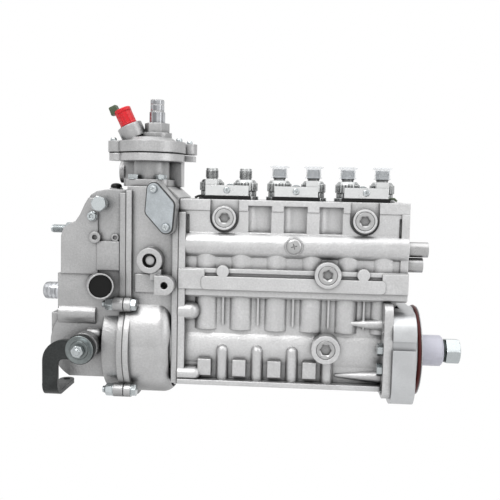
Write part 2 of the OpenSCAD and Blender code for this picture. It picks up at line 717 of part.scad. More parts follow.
module governor_cover() color("silver") {
    cover_shell();
    // Pivot pin of the guide lever and the hook that holds the governor spring
    bar_y(-28, -7, guide_pivot_x, guide_pivot_z, 4);
    block(spring_x - 6, spring_x + 6, -gov_y + gov_wall - 1, spring_y + 5.5, spring_top, spring_top + 3);
}
module cover_front() {
    ring_boss = [cov_x1 - 28.1, 102.2];
    small_boss = [cov_x1 - 10.2, 102.1];
    upper_proud = 2;
    prism_y(-gov_y - upper_proud, -gov_y + 1) intersection() {
        cover_outline(0);
        translate([upper_left - 1, step_z]) square([cov_x1 - 25 - upper_left, cover_top - 8 - step_z]);
    }
    difference() {
        bar_y(-gov_y - 5, -gov_y + 1, ring_boss[0], ring_boss[1], 5.2);
        bar_y(-gov_y - 6, -gov_y - 2.5, ring_boss[0], ring_boss[1], 2.4);
    }
    difference() {
        bar_y(-gov_y - 1.6, -gov_y + 1, small_boss[0], small_boss[1], 3.6);
        bar_y(-gov_y - 2.6, -gov_y, small_boss[0], small_boss[1], 2);
    }
    block(cov_x1 - 26.7, cov_x1 - 5.7, -gov_y - 2.8, -gov_y + 1, 72.2, 98.7);
    // Soft bulge along the cover, and a boss with a round end beside the lever
    bulge_r = 10.5;
    bar_x(cov_x0 + 1, cov_x1 - 28, -gov_y - 3.5 + bulge_r, 29.5, bulge_r);
    pin_boss_r = 4.7;
    bar_x(lever_x, lever_x + 9.4, -gov_y - 2, lever_z + 10.2, pin_boss_r);
    translate([lever_x + 9.4, -gov_y - 2, lever_z + 10.2]) sphere(pin_boss_r);
}
module cover_shell() difference() {
    joint_t = 5;
    drum_x0 = cov_x1 - 20;
    union() {
        prism_y(-gov_y, gov_y) cover_outline(0);
        bar_x(drum_x0, cov_x1, 0, 0, drum_r - 2);
        bar_x(cov_x1 - joint_t, cov_x1, 0, 0, drum_r + 4);
        block(cov_x1 - joint_t, cov_x1, -gov_y - 4, gov_y + 4, 0, cover_top - 3);
        // Plate at the lower left end
        block(cov_x0 - 6.6, cov_x0 + 2, -gov_y + 2, gov_y - 2, lever_z - 22, lever_z + 27.6);
        bar_y(hub_y, -gov_y + 1, lever_x, lever_z, 13);
        tube_axis() cylinder(h = tube_len, r = tube_r);
        for (s = cov_screws) bar_x(cov_x1 - lug_left, cov_x1, s[0], s[1], 6.2);
        cover_front();
        bar_z(cover_top - 8, cover_top + 1.2, filler_x, filler_y, 6.6);
        bar_x(cov_x0 - 2, cov_x0 + 12, 0, idle_z, 9.5);
        bar_x(stop_x, cov_x0 + 20, 0, stop_z, 6);
    }
    prism_y(-gov_y + gov_wall, gov_y - gov_wall) cover_inside();
    bar_x(drum_x0 + gov_wall, cov_x1 + 1, 0, 0, drum_in_r - 2);
    tube_axis() translate([0, 0, -10]) cylinder(h = tube_len + 12, r = tube_bore_r);
    bar_y(hub_y - 1, -gov_y + gov_wall + 1, lever_x, lever_z, lever_shaft_r + run_fit);
    bar_x(cov_x0 - 9, cov_x0 + gov_wall + 8, 0, idle_z, idle_bore_r);
    bar_x(stop_x - 1, cov_x0 + 30, 0, stop_z, stop_screw_r);
    bar_z(cover_top - 12, cover_top + 4, filler_x, filler_y, filler_bore_r);
}
module cover_inside() {
    cover_outline(gov_wall);
    translate([cov_x1 - 10, cover_foot + gov_wall]) square([11, cover_top - gov_wall * 2 - cover_foot]);
}

module cover_gasket() color("dimgray") difference() {
    union() {
        bar_x(cov_x1, gov_x0, 0, 0, drum_r + 4);
        block(cov_x1, gov_x0, -gov_y - 4, gov_y + 4, 0, cover_top - 3);
    }
    bar_x(cov_x1 - 1, gov_x0 + 1, 0, 0, drum_in_r);
    block(cov_x1 - 1, gov_x0 + 1, -gov_y + gov_wall, gov_y - gov_wall, 0, cover_top - 8);
}

// Screws through the joint flanges of the governor cover
module governor_screws() color("whitesmoke") for (s = cov_screws) {
    hex_x(cov_x1 - lug_left - 10, cov_x1 - lug_left, s[0], s[1], 10);
    hex_x(gov_x0 + lug_right, gov_x0 + lug_right + 5, s[0], s[1], 10);
}

// Diamond plate that closes the opening in the front of the governor housing, with two screws
module blanking_plate() color("lightsteelblue") translate([pad_x, 0, pad_z]) rotate([0, -pad_lean, 0]) {
    prism_y(pad_y - 2.5, pad_y) diamond(12.9, 22.7, 5.5);
    for (s = [-1, 1]) bar_y(pad_y - 5.5, pad_y - 2.5, 0, s * 17.5, 3.2);
}

module oil_filler_cap() color("black") {
    bar_z(cover_top - 6, cover_top + 1.2, filler_x, filler_y, filler_bore_r - run_fit);
    bar_z(cover_top + 1.2, cover_top + 5.6, filler_x, filler_y, 5.6);
}

module tube_plug() color("black") tube_axis() translate([0, 0, tube_len - 16])
    cylinder(h = 14, r = tube_bore_r - run_fit);

// Hexagon plug and bleed screw on the upper left of the cover
module vent_screws() color("silver") {
    plug = [cov_x1 - 20.8, 133.1];
    bleed = [cov_x1 - 30.4, 121.4];
    bar_y(-gov_y - 12, -gov_y, plug[0], plug[1], 4);
    hex_y(-gov_y - 19, -gov_y - 12, plug[0], plug[1], 11);
    bar_y(-gov_y - 6, -gov_y - 2, bleed[0], bleed[1], 2.5);
    hex_y(-gov_y - 10, -gov_y - 6, bleed[0], bleed[1], 7);
}

module full_load_screw() color("lightgray") {
    bar_x(cov_x0 - 18, cov_x0 + 30, 0, stop_z, stop_screw_r - run_fit);
    hex_x(stop_x - 5, stop_x, 0, stop_z, 11);
}

module idle_spring_cap() color("gainsboro") {
    bar_x(cov_x0 - 25.4, cov_x0 - 2, 0, idle_z, 9);
    bar_x(cov_x0 - 2.5, cov_x0 + 10, 0, idle_z, idle_bore_r - run_fit);
}

// Cover over the spring chamber at the rear
insp_overlap = 6;
insp_z0 = chamber_z0 - 1;
insp_z1 = chamber_z1 + 4;
module inspection_outline() {
    w = chamber_x1 - chamber_x0 + 2 * insp_overlap;
    translate([(chamber_x0 + chamber_x1) / 2, (insp_z0 + insp_z1) / 2]) round_rect(w, insp_z1 - insp_z0 + 4, 5);
}
module inspection_cover() color("silver") {
    prism_y(rear_y + gasket_t, rear_y + gasket_t + 2.5) inspection_outline();
    prism_y(rear_y + gasket_t + 2.4, rear_y + gasket_t + 5)
        translate([(chamber_x0 + chamber_x1) / 2, (insp_z0 + insp_z1) / 2])
            round_rect(chamber_x1 - chamber_x0 - 16, insp_z1 - insp_z0 - 16, 8);
}
module inspection_gasket() color("dimgray") difference() {
    prism_y(rear_y, rear_y + gasket_t) inspection_outline();
    block(chamber_x0, chamber_x1, rear_y - 1, rear_y + gasket_t + 1, chamber_z0, chamber_z1);
}
// Small screws of the inspection cover and of the compensator
lid_screw_ring = comp_r - 12.4;
lid_screws = concat(
    [[-comp_r + 5.5, -6], [32, 26]],
    [for (a = [-16, 97, 142]) [lid_screw_ring * cos(a), lid_screw_ring * sin(a)]]
);
module cover_screws() color("slategray") {
    for (x = [chamber_x0 + 1, chamber_x1 - 1], z = [insp_z0 + 4, insp_z1 - 4])
        bar_y(rear_y + gasket_t + 2.5, rear_y + gasket_t + 6, x, z, 4.5);
    for (p = lid_screws) bar_z(lid_z1 - 4, lid_z1 - 0.5, comp_x + p[0], p[1], 3);
    for (sx = [-1, 1]) hex_z(comp_base_z, comp_base_z + 4.5, comp_x + sx * 13, -19.5, 9);
}

// Plug with a hexagon socket, its face flush with the boss
module socket_plug(x, y, z, socket_af) difference() {
    bar_y(y, y + plug_t, x, z, plug_r - 0.1);
    hex_y(y - 1, y + plug_t - 1.5, x, z, socket_af);
}
module gallery_plugs() color("silver") {
    for (x = upper_plugs) socket_plug(x, -boss_a_y, plug_a_z, 8);
    socket_plug(lower_plug_x, -boss_c_y, plug_c_z, 8);
    socket_plug(lower_plug_x, -boss_d_y, plug_d_z, 9);
}

// Screw whose tip keeps the rack from turning
module rack_guide_screw() color("gainsboro") {
    bar_y(-ledge_y - 4, -ledge_y - 1.5, guide_x, guide_z, guide_boss_r);
    bar_y(-ledge_y - 2, -front_y + wall_t, guide_x, guide_z, 3 - run_fit);
}

// Cap over the end of the rack, and the small plug below it
module rack_cap() color("lightgray") {
    difference() {
        bar_x(upper_x1, rack_cap_end, rack_y, rack_z, rack_cap_r);
        bar_x(upper_x1 - 1, rack_cap_end - 1.6, rack_y, rack_z, rack_r + 0.3);
    }
    bar_x(upper_x1, rack_cap_end - 4.4, rack_y, rack_z - 14.2, rack_cap_r - 0.2);
}

// Delivery valve holders: skirt in the deck, gripped ring, shoulder, neck and union thread
thread_top = deck_z + 29;
union_r = 6;
grip_r = 11.5;
grip_z0 = deck_z + 8;
grip_z1 = deck_z + 16;
module holder_profile() difference() {
    union() {
        translate([0, barrel_top_z + 1]) square([barrel_r, deck_z + 3.2 - barrel_top_z - 1]);
        translate([0, deck_z + 3]) square([10.4, 6]);
        translate([0, grip_z0]) square([grip_r, grip_z1 - grip_z0]);
        polygon([[0, grip_z1 - 0.1], [grip_r, grip_z1 - 0.1], [9.5, deck_z + 18.5], [5.4, deck_z + 18.5], [0, deck_z + 18.5]]);
        square([5.4, thread_top - 1]);
        translate([0, deck_z + 20]) square([union_r, thread_top - deck_z - 20.7]);
        polygon([[0, thread_top - 0.8], [union_r, thread_top - 0.8], [union_r - 0.8, thread_top], [0, thread_top]]);
    }
    square([barrel_r + 1, barrel_top_z + 1]);
    square([9.2, deck_z - 2]);
    square([4.4, deck_z + 12]);
    square([1.4, thread_top + 1]);
    polygon([[0, thread_top - 2.5], [3.4, thread_top + 0.2], [0, thread_top + 0.2]]);
}
module delivery_holders() color("gray") for (i = cyl_list)
    translate([cyl_x(i), 0, 0]) rotate_extrude() holder_profile();

// Clamp plates that keep two neighbouring holders from turning
clamp_z0 = deck_z + 3.5;
clamp_h = 9.5;
clamp_half = 20;
clamp_y0 = 9;
clamp_y1 = 18;
raise_side = [-1, 1, 1];
module clamp_plate(x, side, raised) difference() {
    raised_half = 5.5;
    screw_z = clamp_z0 + 5;
    union() {
        block(x - clamp_half, x + clamp_half, min(side * clamp_y0, side * clamp_y1),
            max(side * clamp_y0, side * clamp_y1), clamp_z0, clamp_z0 + clamp_h);
        rx = x + raised * (clamp_half - raised_half);
        block(rx - raised_half, rx + raised_half, min(side * clamp_y0, side * clamp_y1) + 1,
            max(side * clamp_y0, side * clamp_y1) - 1, clamp_z0 + clamp_h - 1, clamp_z0 + clamp_h + raised_half);
    }
    for (s = [-1, 1]) bar_z(clamp_z0 - 1, clamp_z0 + clamp_h + 6, x + s * cyl_pitch / 2, 0, grip_r + seat_gap);
    bar_y(-clamp_y1 - 2, clamp_y1 + 2, x, screw_z, 3.1);
}
module holder_clamps() color("whitesmoke") for (k = [0 : 2], side = [-1, 1])
    clamp_plate(mid_x(pair_list[k]), side, raise_side[k]);
module clamp_screws() color("silver") for (k = pair_list) {
    bar_y(-clamp_y1 - 0.6, clamp_y1 + 1, mid_x(k), clamp_z0 + 5, 3.1 - run_fit);
    hex_y(clamp_y1, clamp_y1 + 5, mid_x(k), clamp_z0 + 5, 10);
}
module sealing_strips() color("black") for (k = pair_list) difference() {
    block(mid_x(k) - clamp_half - 2, mid_x(k) + clamp_half + 2, -clamp_y1 + 0.5, clamp_y1 - 0.5, deck_z, deck_z + 3.3);
    for (s = [-1, 1]) bar_z(deck_z - 1, deck_z + 4, mid_x(k) + s * cyl_pitch / 2, 0, barrel_r + seat_gap);
}

// Translucent caps on four of the unions
module union_caps() color("azure") for (i = [2 : 5]) translate([cyl_x(i), 0, 0]) rotate_extrude() {
    difference() {
        union() {
            polygon([[0, deck_z + 21], [8, deck_z + 21], [7, deck_z + 24], [6.9, thread_top + 0.4], [0, thread_top + 0.4]]);
            translate([0, thread_top + 0.3]) square([8.5, 2]);
        }
        square([union_r + 0.1, thread_top + 0.1]);
    }
}

// Barrels in the housing, each with its fuel ports
module barrels() color("lightslategray") for (i = cyl_list) translate([cyl_x(i), 0, 0]) difference() {
    rotate_extrude() {
        translate([plunger_d / 2, barrel_nose_z]) square([barrel_nose_r - plunger_d / 2, seat_z - barrel_nose_z]);
        translate([plunger_d / 2, chamber_z1]) square([barrel_low_r - plunger_d / 2, seat_z - chamber_z1]);
        translate([plunger_d / 2, seat_z]) square([barrel_r - plunger_d / 2, barrel_top_z - seat_z]);
    }
    port_r = 1.5;
    bar_y(-barrel_r - 1, barrel_r + 1, 0, port_z, port_r);
}
module delivery_valves() color("silver") for (i = cyl_list) translate([cyl_x(i), 0, 0]) {
    rotate_extrude() difference() {
        translate([0, barrel_top_z]) square([9, deck_z - 2.5 - barrel_top_z]);
        translate([0, barrel_top_z - 1]) square([3, deck_z]);
    }
    rotate_extrude() {
        translate([0, barrel_top_z + 2]) square([3 - run_fit, deck_z - 2.5 - barrel_top_z - 2]);
        translate([0, deck_z - 2.5]) square([4, 2]);
    }
}
module delivery_springs() color("silver") for (i = cyl_list) translate([cyl_x(i), 0, 0])
    coil(3.3, 0.6, deck_z - 0.4, deck_z + 11.8, 5, 10, 5);

// Plunger springs between the lower plates and the upper seats under the shelf
upper_seat_t = 2;
module plunger_springs() color("silver") for (i = cyl_list) translate([cyl_x(i), 0, 0])
    coil(spring_mean_r, spring_wire_r, plate_z0 + plate_t + 0.05, shelf_z0 - upper_seat_t - 0.05, 4, 12, 6);
module spring_plates() color("slategray") for (i = cyl_list) translate([cyl_x(i), 0, 0]) rotate_extrude() {
    foot_gap = 0.3;
    plate_r = spring_mean_r + spring_wire_r + 0.1;
    difference() {
        translate([0, plate_z0]) square([plate_r, plate_t]);
        translate([0, plate_z0 - 1]) square([plunger_foot_r + foot_gap, 1 + plunger_foot_t + 2 * foot_gap]);
        translate([0, plate_z0 - 1]) square([plunger_r + foot_gap, plate_t + 2]);
    }
    translate([sleeve_r + 0.3, shelf_z0 - upper_seat_t]) square([plate_r - sleeve_r - 0.3, upper_seat_t]);
}

// Roller tappets, parked at the top of their stroke
tappet_pin_r = 3.5;
module tappets() color("slategray") for (i = cyl_list) translate([cyl_x(i), 0, 0]) {
    fork_w = 12.6;
    difference() {
        union() {
            bar_z(tappet_z0, tappet_z1, 0, 0, tappet_r);
            bar_z(tappet_z1 - 1, crown_z1, 0, 0, crown_r);
        }
        block(-fork_w / 2, fork_w / 2, -tappet_bore_r - 1, tappet_bore_r + 1, tappet_z0 - 1, roller_z + roller_r + 1);
        bar_x(-tappet_bore_r - 1, tappet_bore_r + 1, 0, roller_z, tappet_pin_r);
        bar_z(tappet_z0 + 9, tappet_z1 - 6, 0, 0, 8);
    }
    bar_x(-12, 12, 0, roller_z, tappet_pin_r - 0.02);
    difference() {
        bar_x(-fork_w / 2 + 0.3, fork_w / 2 - 0.3, 0, roller_z, roller_r);
        bar_x(-fork_w, fork_w, 0, roller_z, tappet_pin_r + run_fit);
    }
}

// Involute tooth of the control gears, centred on the +X direction
function involute_turn(r, rb) = let (t = sqrt(max(r * r / rb / rb - 1, 0))) t * 180 / PI - atan(t);
module gear_tooth(m, count, tip, root, slack) {
    pr = m * count / 2;
    rb = pr * cos(pressure_angle);
    half = 90 / count - slack / 2 / pr * 180 / PI + involute_turn(pr, rb);
    radii = [pr - root - 0.3, rb, rb + 0.25 * (pr + tip - rb), rb + 0.5 * (pr + tip - rb),
        rb + 0.75 * (pr + tip - rb), pr + tip];
    right = [for (r = radii) let (a = half - involute_turn(max(r, rb), rb)) [r * cos(a), -r * sin(a)]];
    left = [for (k = [len(radii) - 1 : -1 : 0]) let (r = radii[k], a = half - involute_turn(max(r, rb), rb))
        [r * cos(a), r * sin(a)]];
    polygon(concat(right, left));
}

// Plunger with its control sleeve and toothed sector: both turn together, and the plunger slides
sector_first = -1;
sector_last = 5;
arm_w = 4.6;
arm_z0 = 77.5;
arm_t = 3.5;
plunger_foot_r = 6;
plunger_foot_t = 1.5;
module control_sleeve() difference() {
    union() {
        bar_z(sleeve_z0, sleeve_z1, 0, 0, sleeve_r);
        prism_z(gear_z0, gear_z0 + gear_t) {
            circle(pinion_r - gear_root);
            for (k = [sector_first : sector_last])
                rotate(-90 + k * 360 / gear_teeth) gear_tooth(gear_m, gear_teeth, gear_tip, gear_root, backlash);
        }
    }
    bar_z(sleeve_z0 - 1, sleeve_z1 + 1, 0, 0, barrel_nose_r + run_fit);
    block(-arm_w / 2 - 0.2, arm_w / 2 + 0.2, -sleeve_r - 1, sleeve_r + 1, sleeve_z0 - 1, arm_z0 + arm_t + 9);
}
module plunger() difference() {
    helix_z = port_z - 0.5;
    union() {
        bar_z(plate_z0 + 0.3, plate_z0 + 0.3 + plunger_foot_t, 0, 0, plunger_foot_r);
        bar_z(plate_z0 + 1, barrel_top_z - 0.5, 0, 0, plunger_r);
        block(-arm_w / 2, arm_w / 2, -sleeve_r, sleeve_r, arm_z0, arm_z0 + arm_t);
    }
    // Slanting control edge and the upright groove that empties it
    translate([0, 0, helix_z]) rotate([0, 35, 0]) block(plunger_r - 1.2, plunger_r + 6, -6, 6, -4.5, 0);
    block(plunger_r - 1.2, plunger_r + 1, -0.8, 0.8, helix_z - 4, barrel_top_z);
}
module element(i) translate([cyl_x(i), 0, 0]) {
    color("darkgray") control_sleeve();
    color("lightsteelblue") plunger();
}

// Toothed rack: a round bar with a flat, and a stretch of teeth for each element
rack_x1 = rack_cap_end - 3;
rack_pin_slot = guide_pin_r + 0.3;
module rack_gap(x) {
    tan_a = tan(pressure_angle);
    half = tooth_pitch / 4 + backlash / 4;
    top = half + (rack_tip + 1) * tan_a;
    low = half - (gear_tip + 0.3) * tan_a;
    translate([x, -pinion_r]) polygon([[-top, rack_tip + 1], [top, rack_tip + 1], [low, -gear_tip - 0.3], [-low, -gear_tip - 0.3]]);
}
module control_rack() color("lightgray") difference() {
    left_x = rack_pin_x - 7;
    bar_x(left_x, rack_x1, rack_y, rack_z, rack_r);
    block(left_x - 1, rack_x1 + 1, -pinion_r + rack_tip, 0, rack_z - rack_r - 1, rack_z + rack_r + 1);
    prism_z(rack_z - rack_r - 1, rack_z + rack_r + 1) for (i = cyl_list, k = [sector_first : sector_last])
        rack_gap(cyl_x(i) + k * tooth_pitch);
    // Guide groove for the screw in front, and the eye for the guide lever's pin
    block(mid_x(2) - 4, mid_x(2) + rack_travel + 4, rack_y - rack_r - 1, rack_y - rack_r + 1.2, rack_z - 3, rack_z + 4);
    prism_y(rack_y - rack_r - 1, rack_y + rack_r + 1) slot([rack_pin_x, rack_z - 1], [rack_pin_x, rack_z + 1], rack_pin_slot);
}

// Carrier on the camshaft, with ears for the two flyweights
module flyweight_carrier() color("slategray") difference() {
    ear_y0 = weight_half_w + 0.5;
    ear_y1 = weight_half_w + 3.5;
    ear_h = weight_pin_z + 5;
    union() {
        bar_x(carrier_x0, carrier_x1, 0, 0, 16);
        for (sy = [-1, 1])
            block(weight_pin_x - 5, carrier_x1, min(sy * ear_y0, sy * ear_y1), max(sy * ear_y0, sy * ear_y1),
                -ear_h, ear_h);
        block(carrier_x1 - 4, carrier_x1, -ear_y1, ear_y1, -ear_h, ear_h);
    }
    bar_x(carrier_x0 - 1, carrier_x1 + 1, 0, 0, carrier_bore_r);
    for (sz = [-1, 1]) bar_y(-ear_y1 - 1, ear_y1 + 1, weight_pin_x, sz * weight_pin_z, weight_pin_r + run_fit);
}

// Flyweight: an angle lever whose mass lies over the sleeve and whose foot presses on it
module flyweight() translate([weight_pin_x, 0, weight_pin_z]) {
    foot_half_w = 7;
    difference() {
        prism_y(-weight_half_w, weight_half_w) polygon([
            [-23, -2], [-23, 10], [-19, 14], [2, 14], [3.5, 6], [4, -3],
            [2.5, -foot_arm], [-1.5, -foot_arm], [-1.5, -8.5], [-3.5, -6], [-7, -4]
        ]);
        block(-8, 6, -foot_half_w, foot_half_w, 5, 16);
        for (sy = [-1, 1])
            block(-8, 5, min(sy * foot_half_w, sy * 20), max(sy * foot_half_w, sy * 20), -foot_arm - 1, -4.5);
    }
    bar_y(-weight_half_w - 3.2, weight_half_w + 3.2, 0, 0, weight_pin_r);
}
module flyweight_1() color("darkgray") flyweight();
module flyweight_2() color("darkgray") rotate([180, 0, 0]) flyweight();

// Sliding sleeve on the camshaft's stub, pushed left by the flyweights
module governor_sleeve() color("lightgray") difference() {
    push_gap = 0.3;
    union() {
        bar_x(weight_pin_x - 1.5 - push_gap - 2.5, weight_pin_x - 1.5 - push_gap, 0, 0, 9);
        bar_x(sleeve_pin_x - 6, weight_pin_x - 3, 0, 0, 7);
    }
    bar_x(sleeve_pin_x + 4, weight_pin_x, 0, 0, guide_stub_r + run_fit);
    bar_y(-10, 10, sleeve_pin_x, 0, guide_pin_r + 0.3);
}

// Guide lever between the sleeve and the rack, on a pivot pin in the cover
module guide_lever() color("slategray") translate([guide_pivot_x, 0, guide_pivot_z]) rotate([0, guide_tilt, 0]) {
    arm_y0 = -12;
    arm_y1 = -8;
    reach = (rack_z - guide_pivot_z) / cos(guide_tilt);
    sleeve_reach = -guide_pivot_z / cos(guide_tilt);
    difference() {
        prism_y(arm_y0, arm_y1) {
            slot([0, 0], [0, sleeve_reach], 6);
            slot([0, sleeve_reach], [0, reach], 4.5);
        }
        bar_y(arm_y0 - 1, arm_y1 + 1, 0, 0, 4 + run_fit);
    }
    bar_y(arm_y1 - 1, 6, 0, sleeve_reach, guide_pin_r);
    bar_y(rack_y - 2, arm_y0 + 1, 0, reach, guide_pin_r);
}

// Governor spring from the inner arm of the lever shaft up to the hook in the cover
spring_x = lever_x + 10;
spring_y = -gov_y + gov_wall + 5.5;
spring_foot = lever_z + 12 + 5;
spring_top = 72;
module governor_spring() color("silver") translate([spring_x, spring_y, 0])
    coil(4, 1, spring_foot + 0.1, spring_top - 0.1, 9, 12, 6);

// Control lever: hooked plate arm that runs left and down, and a foot that is bent back
arm_x0 = lever_x - 34.2;
arm_top = lever_z + 8.5;
arm_low = lever_z - 9;
foot_z0 = lever_z - 44;
foot_back = 46;
lever_disc_r = 13.4;
lever_eye_r = 3.3;
module control_lever() color("darkslategray") {
    hook_r = 20;
    inner_r = 6;
    bend_r = 12;
    eye_x = arm_x0 + lever_w / 2;
    eye_y = lever_y + foot_back;
    difference() {
        union() {
            prism_y(lever_y, lever_y + lever_t) {
                translate([lever_x, lever_z]) circle(lever_disc_r);
                translate([arm_x0 + hook_r, arm_top - hook_r]) circle(hook_r);
                translate([arm_x0 + hook_r, arm_low]) square([lever_x - arm_x0 - hook_r, arm_top - arm_low]);
                translate([arm_x0, foot_z0 + bend_r]) square([lever_w, arm_top - hook_r - foot_z0 - bend_r]);
                difference() {
                    translate([arm_x0 + lever_w - 1, arm_low - inner_r]) square(inner_r + 1);
                    translate([arm_x0 + lever_w + inner_r, arm_low - inner_r]) circle(inner_r);
                }
            }
            prism_x(arm_x0, arm_x0 + lever_w) translate([lever_y, foot_z0]) intersection() {
                square(bend_r);
                difference() {
                    translate([bend_r, bend_r]) circle(bend_r);
                    translate([bend_r, bend_r]) circle(bend_r - lever_t);
                }
            }
            block(arm_x0, arm_x0 + lever_w, lever_y + bend_r, eye_y, foot_z0, foot_z0 + lever_t);
            bar_z(foot_z0, foot_z0 + lever_t, eye_x, eye_y, lever_w / 2);
        }
        bar_y(lever_y - 1, lever_y + lever_t + 1, lever_x, lever_z, lever_shaft_r + run_fit);
        bar_z(foot_z0 - 1, foot_z0 + lever_t + 1, eye_x, eye_y, lever_eye_r);
    }
}
module lever_shaft() color("silver") {
    bar_y(lever_y, -gov_y + gov_wall + 8, lever_x, lever_z, lever_shaft_r);
    bar_y(hub_y - 5, hub_y - 0.3, lever_x, lever_z, 9);
    bar_y(lever_y - 2, lever_y, lever_x, lever_z, 12);
    hex_y(lever_y - 8, lever_y - 2, lever_x, lever_z, 13);
    prism_y(-gov_y + gov_wall + 2, -gov_y + gov_wall + 8) slot([lever_x, lever_z], [spring_x, spring_foot - 5], 5);
}

// Compensator: body with its neck, cover, diaphragm, spring and plunger
chamber_r = comp_r - 14;
ear_y = -6;
ear_r = 8;
module comp_outline(r) {
    // Round dish with an ear for a screw at either side
    left_ear = -r + 0.6;
    circle(r - 9);
    slot([0, ear_y], [left_ear + ear_r, ear_y], ear_r);
}
rod_r = 4;
spring_pocket_r = 14;
neck_block_x = 26;
wing_x = 39.5;
module compensator_body() color("silver") translate([comp_x, 0, 0]) difference() {
    base_w = 40;
    base_d = 48;
    cheek_x0 = -31;
    cheek_y0 = 15;
    cheek_y1 = 33;
    barrel_z = gov_top + 14;
    union() {
        prism_z(gov_top, comp_base_z) round_rect(base_w, base_d, 6);
        bar_z(comp_base_z - 1, dish_z0 + 1, 0, 0, neck_r);
        prism_z(dish_z0, dish_z1) comp_outline(comp_r - 1);
        block(cheek_x0, neck_block_x, cheek_y0, cheek_y1, gov_top, dish_z0 + 1);
        bar_x(cheek_x0 - 4, cheek_x0 + 1, 24, barrel_z, 11);
        block(8, wing_x - 2, cheek_y0 + 1, cheek_y1 + 1, dish_z0 + 1.5, dish_z1);
    }
    bar_z(gov_top - 1, dish_z1 + 1, 0, 0, rod_r + run_fit);
    bar_z(gov_top + 8, dish_z1 + 1, 0, 0, spring_pocket_r);
    bar_z(dish_z1 - boost_travel + diaphragm_t - 0.6, dish_z1 + 1, 0, 0, chamber_r);
}
// The inlet boss leans to the left, and its tube goes on into the cap
inlet_x = -16.2;
inlet_lean = 25.6;
module inlet_axis() translate([inlet_x, 0, lid_z1 - 1]) rotate([0, -inlet_lean, 0]) children();
stud_x = 4.8;
hex_z0 = lid_z1 + 4.5;
hex_z1 = hex_z0 + 9;
module compensator_cover() color("gainsboro") translate([comp_x, 0, 0]) difference() {
    slope = 4;
    stud_r = 6.4;
    nut_r = 7.3;
    nut_z1 = hex_z1 + 10.5;
    stud_z1 = nut_z1 + 11.5;
    union() {
        prism_z(lid_z0, lid_z1 - slope) {
            comp_outline(comp_r);
            slot([20, 26], [wing_x - ear_r, 26], ear_r);
        }
        translate([0, 0, lid_z1 - slope - 0.01]) cylinder(h = slope, r1 = comp_r - 16, r2 = comp_r - 22);
        bar_z(lid_z1 - 1, hex_z0, stud_x, 0, 14);
        hex_z(hex_z0, hex_z1, stud_x, 0, 20.5);
        bar_z(hex_z1 - 0.5, nut_z1, stud_x, 0, nut_r);
        bar_z(nut_z1 - 1, stud_z1, stud_x, 0, stud_r);
        inlet_axis() cylinder(h = 13, r = 12);
    }
    bar_z(lid_z0 - 1, lid_z1 - slope, 0, 0, chamber_r);
    inlet_axis() translate([0, 0, -8]) cylinder(h = 24, r = 4);
}
module boost_diaphragm() color("black") translate([comp_x, 0, 0]) difference() {
    prism_z(dish_z1, lid_z0) comp_outline(comp_r - 1);
    bar_z(dish_z1 - 1, lid_z0 + 1, 0, 0, rod_r + 0.3);
}
module boost_spring() color("silver") translate([comp_x, 0, 0])
    coil(10, 1.2, gov_top + 8.1, dish_z1 - 2.6, 5, 16, 6);
module boost_plunger() color("lightsteelblue") translate([comp_x, 0, 0]) {
    foot_z0 = gov_top - 28;
    plate_r = chamber_r - 6;
    bar_z(foot_z0, lid_z0 + 4, 0, 0, rod_r);
    bar_z(lid_z0 + 0.3, lid_z0 + 2.3, 0, 0, plate_r);
    bar_z(dish_z1 - 2.5, dish_z1 - 0.5, 0, 0, spring_pocket_r - 1);
    bar_z(foot_z0, foot_z0 + 4, 0, 0, 6);
}
module boost_union() color("red") translate([comp_x, 0, 0]) inlet_axis() {
    cap_z0 = 13;
    cap_z1 = 28;
    difference() {
        bar_z(cap_z0, cap_z1, 0, 0, 7.8);
        bar_z(cap_z0 - 1, cap_z0 + 7, 0, 0, 5);
    }
    block(-9, -2, -1.5, 1.5, cap_z1 - 3, cap_z1 + 4);
}

pump_housing();
base_cover();
drive_flange();
pilot_seal();
flange_screws();
shaft_seal();
bearing_rings();
camshaft();
bearing_rollers();
drive_nut();
taper_sleeve();
governor_housing();
housing_gasket();
governor_cover();
cover_gasket();
governor_screws();
blanking_plate();
oil_filler_cap();
tube_plug();
vent_screws();
full_load_screw();
idle_spring_cap();
inspection_cover();
inspection_gasket();
cover_screws();
gallery_plugs();
rack_guide_screw();
rack_cap();
delivery_holders();
holder_clamps();
clamp_screws();
sealing_strips();
union_caps();
barrels();
delivery_valves();
delivery_springs();
plunger_springs();
spring_plates();
tappets();
control_rack();
element(0);  // element_1
element(1);  // element_2
element(2);  // element_3
element(3);  // element_4
element(4);  // element_5
element(5);  // element_6
flyweight_carrier();
flyweight_1();
flyweight_2();
governor_sleeve();
guide_lever();
governor_spring();
control_lever();
lever_shaft();
compensator_body();
compensator_cover();
boost_diaphragm();
boost_spring();
boost_plunger();
boost_union();
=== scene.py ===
"""Studio scene of an in-line fuel injection pump: materials, small details, light and camera."""

import collections
import json
import math
import random

import bmesh
import bpy
from mathutils import Matrix, Quaternion, Vector


